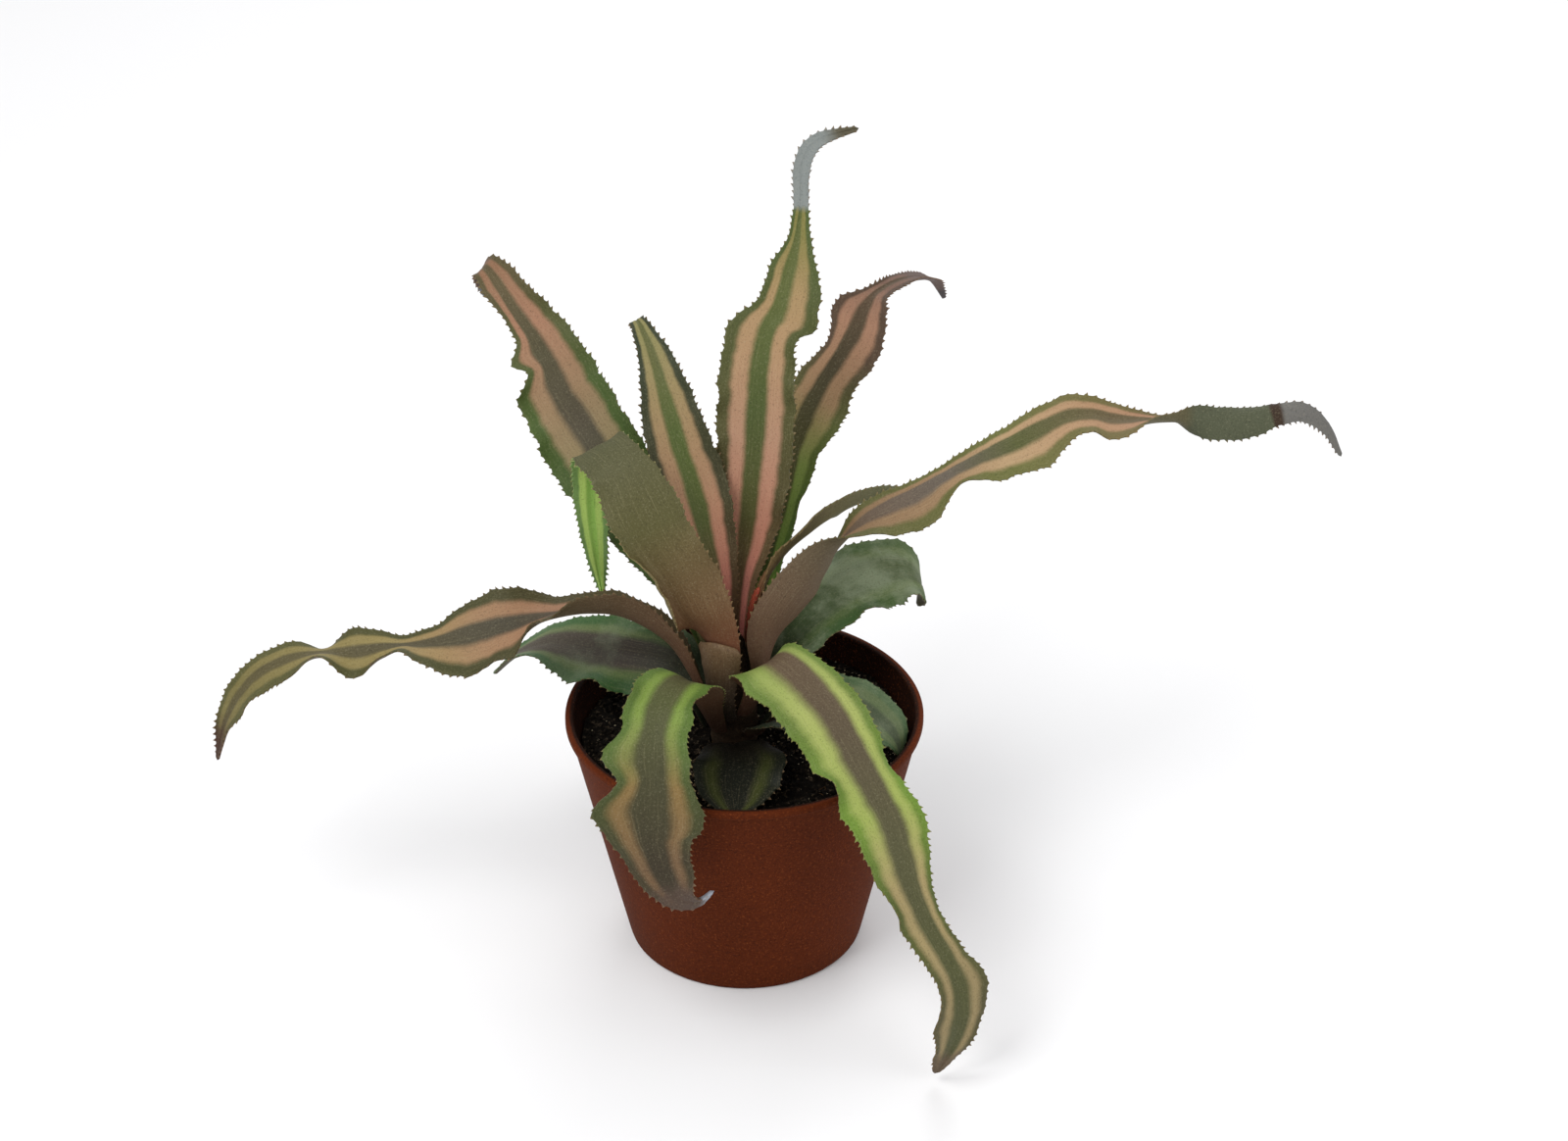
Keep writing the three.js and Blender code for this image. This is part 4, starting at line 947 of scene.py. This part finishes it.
# %% [markdown]
# The skin of a blade is two sheets of points, one over and one under the middle surface, joined along both
# margins and at the base, and brought together in one point at the tip. Every second step along a margin
# carries a spine: the narrow face there is drawn out to a point that leans towards the tip. Each point
# remembers how far across and how far along the leaf it lies, for the finish to paint stripes by.

# %% Leaf skin and spines
SPINE_LENGTH = 1.0
SPINE_LEAN = 0.6
SPINE_SPACING = 2
SPINE_SPREAD = (0.45, 1.0)
SPINES_FROM = 0.1


def blade_mesh(stations, ruffles, seed):
    """Points, faces and painted values of one closed blade with spines on both margins."""
    rows, run = even_run(stations, RING_PITCH)
    middle, normals, ahead = blade_sections(rows, run, ruffles, random.Random(seed))
    draw = random.Random(seed)
    count, width = len(rows) - 1, 2 * STRIPS + 1
    across = np.linspace(-1, 1, width)
    thickness = MIDRIB_THICKNESS + (MARGIN_THICKNESS - MIDRIB_THICKNESS) * np.abs(across)
    groove = GROOVE_DEPTH * np.exp(-(across / GROOVE_WIDTH) ** 2)
    upper = middle[:count] + normals[:count] * (thickness / 2 - groove)[None, :, None]
    under = middle[:count] - normals[:count] * (thickness / 2)[None, :, None]
    tip = 2 * width * count
    points = list(np.stack([upper, under], 1).reshape(-1, 3)) + [rows[count, :3]]
    values = {
        "across": list(np.tile(across, 2 * count)) + [0],
        "run": list(np.repeat(run[:count], 2 * width)) + [run[count]],
        "along": list(np.repeat(np.arange(count) / count, 2 * width)) + [1],
        "under": list(np.tile(np.repeat([0, 1], width), count)) + [0],
        "spine": [0] * (tip + 1),
    }

    def top(i, j):
        return 2 * width * i + j

    def low(i, j):
        return top(i, j) + width

    faces = []
    for j in range(width - 1):
        faces.append((low(0, j), top(0, j), top(0, j + 1), low(0, j + 1)))
        for i in range(count - 1):
            faces.append((top(i, j), top(i + 1, j), top(i + 1, j + 1), top(i, j + 1)))
            faces.append((low(i, j), low(i, j + 1), low(i + 1, j + 1), low(i + 1, j)))
        faces.append((top(count - 1, j), tip, top(count - 1, j + 1)))
        faces.append((low(count - 1, j), low(count - 1, j + 1), tip))
    for j, sign in ((0, -1), (width - 1, 1)):
        near, far = (low, top) if j else (top, low)
        for i in range(count - 1):
            loop = [near(i, j), far(i, j), far(i + 1, j), near(i + 1, j)]
            if i / count < SPINES_FROM or i % SPINE_SPACING:
                faces.append(tuple(loop))
                continue
            out = middle[i, j] - middle[i, j - sign]
            out /= max(np.linalg.norm(out), 1e-6)
            size = draw.uniform(*SPINE_SPREAD) * min(1.0, 0.35 + 0.1 * (count - i))
            root = (middle[i, j] + middle[i + 1, j]) / 2
            points.append(root + size * (SPINE_LENGTH * out + SPINE_LEAN * ahead[i]))
            painted_here = {"across": sign, "run": run[i], "along": i / count, "under": 0.5, "spine": 1}
            for name, value in painted_here.items():
                values[name].append(value)
            for k in range(4):
                faces.append((loop[k], loop[(k + 1) % 4], len(points) - 1))
        faces.append((near(count - 1, j), far(count - 1, j), tip))
    return points, faces, values


def add_leaf(name, seed, finish):
    points, faces, values = blade_mesh(STATIONS[name], RUFFLES.get(name, ((), ())), seed)
    piece = add_piece("blade_" + name, points, faces, finish, ["leaf_" + name], 55.0)
    for label, column in values.items():
        piece.data.attributes.new(label, "FLOAT", "POINT").data.foreach_set("value", column)
    return len(faces)


print("spines stand", SPINE_SPACING * RING_PITCH, "mm apart")

# %% [markdown]
# Leaf finishes share five groups. Stripes lays a middle band, two light stripes and the margins side by
# side across the blade, with edges that waver. Streaks draws the fine lengthwise lines of the veins.
# Ending lets a leaf go over into another colour past a place along it, with a ragged edge, for dry tips.
# Bloom clouds a leaf with the pale wax and scales that earth stars carry. Stem Shade darkens the bases of
# the leaves down in the heart of the rosette.

# %% Leaf groups
DARK_LINES = (0.5, 0.28)
LIGHT_LINES = (0.52, 0.76)
CLOUDS = (0.42, 0.68)
TEAR_SCALE = 260.0

stripes, given, result = start_group("Stripes", {
    "Across": 0.0, "Vector": None, "Middle": BLACK, "Light": WHITE, "Margin": BLACK,
    "Light From": 0.17, "Margin From": 0.58, "Blur": 0.2, "Waver": 0.22,
})
waver = maths(stripes, "SUBTRACT", grain(stripes, given["Vector"], 1.0, 3.0, 0.6), 0.5)
off_midrib = maths(stripes, "ABSOLUTE", given["Across"])
shifted = maths(stripes, "ADD", off_midrib, times(stripes, waver, given["Waver"]))
tone = given["Middle"]
for band in ("Light", "Margin"):
    start = given[band + " From"]
    reached = ease(stripes, shifted, start, maths(stripes, "ADD", start, given["Blur"]))
    tone = mix(stripes, reached, tone, given[band])
stripes.links.new(tone, result["Color"])

streaks, given, result = start_group("Streaks", {
    "Color": WHITE, "Across": 0.0, "Run": 0.0, "Count": 26.0, "Dark": BLACK, "Light": WHITE, "Share": 0.13,
}, ("Color", "Height"))
lane = times(streaks, given["Across"], given["Count"])
drawn_out = point(streaks, lane, times(streaks, given["Run"], 0.05), 0.0)
line = grain(streaks, drawn_out, 1.0, 3.0, 0.6)
dark = times(streaks, ease(streaks, line, *DARK_LINES), given["Share"])
light = times(streaks, ease(streaks, line, *LIGHT_LINES), given["Share"])
lined = mix(streaks, light, mix(streaks, dark, given["Color"], given["Dark"]), given["Light"])
streaks.links.new(lined, result["Color"])
streaks.links.new(line, result["Height"])

ending, given, result = start_group("Ending", {
    "Color": WHITE, "Along": 0.0, "Vector": None, "From": 0.9, "Blur": 0.02, "Ragged": 0.04,
    "End Color": BLACK,
})
tear = maths(ending, "SUBTRACT", grain(ending, given["Vector"], TEAR_SCALE, 3.0, 0.6), 0.5)
place_along = maths(ending, "ADD", given["Along"], times(ending, tear, given["Ragged"]))
past = ease(ending, place_along, given["From"], maths(ending, "ADD", given["From"], given["Blur"]))
ending.links.new(mix(ending, past, given["Color"], given["End Color"]), result["Color"])

bloom, given, result = start_group("Bloom", {
    "Color": WHITE, "Vector": None, "Scale": 60.0, "Bloom Color": WHITE, "Share": 0.3,
})
cloud = grain(bloom, given["Vector"], given["Scale"], 4.0, 0.65)
hazy = times(bloom, ease(bloom, cloud, *CLOUDS), given["Share"])
bloom.links.new(mix(bloom, hazy, given["Color"], given["Bloom Color"]), result["Color"])

stem_shade, given, result = start_group("Stem Shade", {
    "Color": WHITE, "Vector": None, "Reach": 30 * MM, "Low": 72 * MM, "High": 104 * MM,
    "Shade Color": BLACK, "Share": 0.75,
})
height, reach = height_and_reach(stem_shade, given["Vector"])
near_axis = ease(stem_shade, reach, given["Reach"], times(stem_shade, given["Reach"], 0.5))
deep = ease(stem_shade, height, given["High"], given["Low"])
shaded = times(stem_shade, times(stem_shade, near_axis, deep), given["Share"])
stem_shade.links.new(mix(stem_shade, shaded, given["Color"], given["Shade Color"]), result["Color"])
print("leaf groups:", [group.name for group in bpy.data.node_groups])

# %% [markdown]
# Each leaf has its own look. Its bands change colour from the base to the tip, so each band is a short list
# of places along the leaf with the colour there, chosen from the picture. Bands can also begin at
# their own places across the blade. Names with a capital are those of the sockets of the Stripes group.
# Some leaves end in a dry or silvery tip: an end has the place where it starts, how soft and how ragged
# its edge is, and a colour.

# %% Leaf looks
UNDER = [(0, 112, 72, 52), (0.3, 104, 82, 56), (0.6, 88, 84, 54)]
LOOKS = {
    "long_left": {
        "Middle": [(0.15, 104, 78, 58), (0.4, 76, 70, 55), (0.7, 94, 86, 56), (0.9, 94, 86, 54)],
        "Light": [(0.2, 166, 114, 90), (0.45, 164, 128, 94), (0.6, 152, 136, 84), (0.85, 126, 116, 68)],
        "Margin": [(0.2, 82, 70, 44), (0.5, 72, 72, 38), (0.85, 92, 90, 50)],
        "under": [(0, 112, 72, 52), (0.35, 90, 78, 52)],
        "ends": [(0.9, 0.07, 0.05, 74, 48, 34)],
    },
    "long_right": {
        "Middle": [(0.25, 104, 84, 66), (0.42, 106, 96, 84), (0.52, 88, 92, 48), (0.65, 106, 92, 64)],
        "Light": [(0.25, 132, 104, 74), (0.4, 156, 126, 92), (0.5, 186, 156, 116), (0.7, 176, 134, 102)],
        "Margin": [(0.25, 92, 90, 50), (0.5, 108, 110, 56), (0.7, 118, 104, 66)],
        "under": [(0, 118, 82, 62), (0.25, 102, 90, 68), (0.5, 96, 90, 62)],
        "ends": [(0.745, 0.02, 0.01, 84, 88, 66), (0.862, 0.006, 0.004, 60, 44, 30),
                 (0.876, 0.008, 0.004, 114, 112, 107)],
        "Light From": 0.22,
    },
    "back_left": {
        "Middle": [(0.3, 80, 82, 54), (0.55, 86, 78, 60), (0.7, 84, 78, 54), (0.85, 96, 84, 56)],
        "Light": [(0.35, 140, 134, 88), (0.55, 152, 130, 94), (0.75, 168, 124, 96), (0.88, 146, 108, 80)],
        "Margin": [(0.3, 68, 90, 38), (0.6, 74, 94, 40), (0.85, 90, 80, 50)],
        "ends": [(0.9, 0.03, 0.03, 112, 90, 76), (0.955, 0.02, 0.02, 150, 152, 154)],
    },
    "slim_upright": {
        "Middle": [(0.1, 116, 84, 60), (0.35, 86, 94, 46), (0.6, 84, 98, 46), (0.8, 98, 100, 56)],
        "Light": [(0.05, 216, 124, 116), (0.25, 202, 136, 112), (0.45, 174, 134, 102), (0.85, 140, 134, 84)],
        "Margin": [(0.1, 104, 78, 52), (0.4, 68, 64, 38), (0.8, 50, 58, 36)],
        "ends": [(0.93, 0.04, 0.03, 104, 108, 84)],
    },
    "tall_centre": {
        "Middle": [(0.08, 122, 88, 60), (0.25, 88, 88, 46), (0.45, 78, 90, 44), (0.65, 90, 98, 46)],
        "Light": [(0.05, 220, 130, 118), (0.2, 204, 138, 114), (0.4, 184, 142, 114), (0.65, 166, 138, 94),
                  (0.75, 128, 122, 62)],
        "Margin": [(0.1, 112, 84, 56), (0.3, 86, 78, 46), (0.6, 78, 84, 40), (0.78, 76, 92, 40)],
        "ends": [(0.79, 0.012, 0.012, 136, 142, 139), (0.93, 0.04, 0.03, 92, 86, 66)],
    },
    "back_right": {
        "Middle": [(0.1, 90, 118, 46), (0.35, 84, 84, 42), (0.55, 74, 66, 42), (0.7, 92, 74, 54)],
        "Light": [(0.15, 136, 176, 72), (0.38, 136, 156, 76), (0.5, 166, 134, 96), (0.65, 176, 132, 104),
                  (0.75, 124, 92, 76)],
        "Margin": [(0.15, 96, 140, 48), (0.4, 96, 112, 46), (0.6, 90, 70, 52), (0.8, 88, 68, 54)],
        "ends": [(0.8, 0.05, 0.05, 104, 84, 76), (0.95, 0.02, 0.02, 78, 70, 70)],
        "Margin From": 0.62,
    },
    "edge_on": {
        "Middle": [(0.1, 132, 84, 60), (0.4, 108, 92, 60), (0.8, 90, 94, 60)],
        "Light": [(0.1, 154, 98, 70), (0.5, 132, 112, 70), (0.8, 120, 114, 74)],
        "Margin": [(0.1, 124, 82, 54), (0.5, 98, 92, 52), (0.8, 84, 92, 54)],
        "under": [(0.1, 140, 92, 62), (0.4, 124, 108, 68), (0.8, 100, 104, 70)],
    },
    "arched": {
        # Past 0.62 along, arched is its own lime green painted lighter: painted light on the part that faces
        # away from the lamps.
        "Middle": [(0.1, 104, 90, 56), (0.5, 122, 128, 80), (0.62, 158, 204, 92), (0.8, 148, 192, 88)],
        "Light": [(0.1, 170, 134, 100), (0.3, 170, 154, 108), (0.52, 146, 140, 94), (0.62, 206, 238, 122),
                  (0.85, 182, 216, 112)],
        "Margin": [(0.1, 112, 90, 58), (0.4, 132, 124, 80), (0.62, 138, 174, 98), (0.9, 116, 152, 86)],
        "under": [(0.05, 132, 76, 56), (0.2, 114, 84, 55), (0.4, 92, 88, 50), (0.6, 86, 86, 56)],
    },
    "front_left": {
        "Middle": [(0.2, 92, 84, 60), (0.4, 86, 90, 52), (0.6, 72, 70, 44), (0.8, 62, 54, 38)],
        "Light": [(0.2, 118, 144, 62), (0.45, 126, 150, 66), (0.55, 122, 124, 66), (0.62, 138, 112, 66),
                  (0.8, 120, 94, 66)],
        "Margin": [(0.2, 96, 126, 50), (0.5, 90, 114, 48), (0.62, 74, 84, 42), (0.8, 68, 60, 40)],
        "ends": [(0.84, 0.08, 0.1, 92, 74, 62), (0.955, 0.02, 0.02, 170, 176, 186)],
        "Light From": 0.26, "Blur": 0.28,
    },
    "front_right": {
        "Middle": [(0.1, 108, 88, 68), (0.35, 94, 82, 62), (0.55, 88, 86, 56), (0.75, 84, 86, 50)],
        "Light": [(0.1, 136, 158, 78), (0.3, 170, 180, 100), (0.5, 160, 174, 88), (0.62, 174, 156, 106),
                  (0.8, 158, 140, 98)],
        "Margin": [(0.1, 116, 142, 66), (0.3, 102, 124, 52), (0.5, 112, 144, 50), (0.65, 88, 98, 44),
                   (0.85, 90, 84, 52)],
        "ends": [(0.92, 0.06, 0.06, 104, 86, 66)],
        "Light From": 0.24, "Margin From": 0.6, "Blur": 0.3,
    },
    "low_left": {
        "Middle": [(0.2, 46, 52, 32), (0.4, 70, 62, 52), (0.7, 84, 76, 64)],
        "Light": [(0.2, 52, 74, 36), (0.45, 102, 120, 68), (0.75, 112, 126, 84)],
        "Margin": [(0.2, 34, 60, 28), (0.45, 54, 92, 40), (0.75, 72, 106, 62)],
        "bloom": 0.3, "Light From": 0.36, "Blur": 0.24,
    },
    "low_right": {
        "Middle": [(0.1, 50, 68, 34), (0.4, 60, 80, 38), (0.7, 84, 98, 60)],
        "Light": [(0.1, 58, 82, 38), (0.45, 82, 104, 50), (0.75, 100, 118, 66)],
        "Margin": [(0.1, 46, 72, 28), (0.5, 58, 90, 36), (0.8, 76, 100, 48)],
        "bloom": 0.6, "Light From": 0.3, "Blur": 0.26,
    },
    "low_back": {
        "Middle": [(0.2, 66, 78, 52), (0.6, 84, 80, 66)],
        "Light": [(0.2, 86, 108, 62), (0.6, 124, 136, 90)],
        "Margin": [(0.2, 56, 86, 44), (0.6, 72, 110, 56)],
        "bloom": 0.3,
    },
    "low_front_right": {
        "Middle": [(0.2, 58, 68, 46), (0.6, 76, 88, 62)],
        "Light": [(0.2, 78, 98, 58), (0.6, 98, 114, 74)],
        "Margin": [(0.2, 58, 82, 44), (0.6, 74, 100, 62)],
        "bloom": 0.25,
    },
    "on_soil_front": {
        "Middle": [(0.2, 14, 18, 8), (0.7, 20, 24, 10)],
        "Light": [(0.2, 34, 40, 14), (0.7, 66, 72, 26)],
        "Margin": [(0.2, 14, 18, 8), (0.7, 22, 28, 12)],
        "Light From": 0.3, "Blur": 0.28,
    },
    # small_front's dark greens are its own colour with painted shade from the leaves over it.
    "small_front": {
        "Middle": [(0.2, 34, 48, 26), (0.7, 42, 58, 32)],
        "Light": [(0.2, 40, 56, 30), (0.7, 52, 70, 40)],
        "Margin": [(0.2, 34, 50, 26), (0.7, 46, 64, 36)],
    },
    "short_front": {
        "Middle": [(0.2, 78, 60, 42), (0.7, 106, 82, 58)],
        "Light": [(0.2, 86, 66, 46), (0.7, 116, 90, 62)],
        "Margin": [(0.2, 72, 58, 40), (0.7, 100, 84, 54)],
        "under": [(0.1, 50, 40, 30), (0.5, 80, 62, 44), (0.9, 108, 84, 58)],
    },
    "heart": {
        "Middle": [(0.1, 120, 44, 30), (0.8, 160, 66, 46)],
        "Light": [(0.1, 132, 52, 36), (0.8, 172, 76, 52)],
        "Margin": [(0.1, 112, 42, 28), (0.8, 146, 60, 42)],
        "under": [(0, 128, 46, 30), (0.8, 168, 66, 44)],
    },
}
print("looks:", len(LOOKS))

# %% [markdown]
# The finish of a leaf follows the way it looks from far to near: the bands first, then the pale bloom, the
# other colour of the underside, the lines of the veins, the tip, the spines, the shade at the base, and
# last the fine scales. The studio here is brighter than the room of the picture, so one factor darkens
# all colours.

# %% Leaf finish
ROOM = 0.75
GREEN = ("front_left", "front_right", "low_left", "low_right", "low_back", "low_front_right",
         "on_soil_front", "small_front")
SLOTS = {"heart": "leaf_young", **dict.fromkeys(GREEN, "leaf_green")}


def dimmed(*colour):
    red, green, blue, alpha = screen(*colour)
    return (ROOM * red, ROOM * green, ROOM * blue, alpha)


def ramp(tree, value, stops):
    node = put(tree, "ValToRGB", {"Fac": value})
    marks = node.color_ramp.elements
    while len(marks) < len(stops):
        marks.new(0.5)
    for mark, (place, *colour) in zip(marks, stops):
        mark.position = place
        mark.color = dimmed(*colour)
    return node.outputs["Color"]


def leaf_finish(name, look):
    finish, tree, shader, place = new_finish(name, 0.6, 0.2)
    across, run, along = (painted(tree, label) for label in ("across", "run", "along"))
    side = ease(tree, across, -0.1, 0.1)
    wavering = point(tree, times(tree, run, 0.06), times(tree, side, 7.0), float(len(name)))
    bands = {"Across": across, "Vector": wavering}
    bands.update({key: ramp(tree, along, look[key]) for key in ("Middle", "Light", "Margin")})
    bands.update({key: look[key] for key in ("Light From", "Margin From", "Blur") if key in look})
    tone = place_group(tree, stripes, bands)["Color"]
    if "bloom" in look:
        waxy = {"Color": tone, "Vector": place, "Bloom Color": dimmed(156, 168, 136), "Share": look["bloom"]}
        tone = place_group(tree, bloom, waxy)["Color"]
    below = ramp(tree, along, look.get("under", UNDER))
    tone = mix(tree, ease(tree, painted(tree, "under"), 0.6, 0.9), tone, below)
    lined = place_group(tree, streaks, {
        "Color": tone, "Across": across, "Run": run, "Dark": dimmed(52, 46, 32),
        "Light": dimmed(184, 172, 130),
    })
    tone = lined["Color"]
    for start, blur, ragged, *colour in look.get("ends", ()):
        tone = place_group(tree, ending, {
            "Color": tone, "Along": along, "Vector": place, "From": start, "Blur": blur, "Ragged": ragged,
            "End Color": dimmed(*colour),
        })["Color"]
    tone = mix(tree, times(tree, painted(tree, "spine"), 0.7), tone, dimmed(150, 118, 84))
    shade = {"Color": tone, "Vector": place, "Shade Color": dimmed(30, 22, 15)}
    tone = place_group(tree, stem_shade, shade)["Color"]
    scaly = place_group(tree, speckle, {
        "Color": tone, "Vector": place, "Scale": 1900.0, "Light Grain": dimmed(190, 182, 150),
        "Light Share": 0.16, "Dark Grain": dimmed(30, 26, 18), "Dark Share": 0.4,
    })
    relief = maths(tree, "ADD", lined["Height"], times(tree, scaly["Height"], 0.5))
    paint(tree, shader, scaly["Color"], relief, 0.35, 0.3 * MM)
    return finish


face_count = 0
for seed, name in enumerate(STATIONS):
    finish = leaf_finish("leaf_" + name, LOOKS[name])
    face_count += add_leaf(name, seed, finish)
print("blades:", len(STATIONS), "with", face_count, "faces")
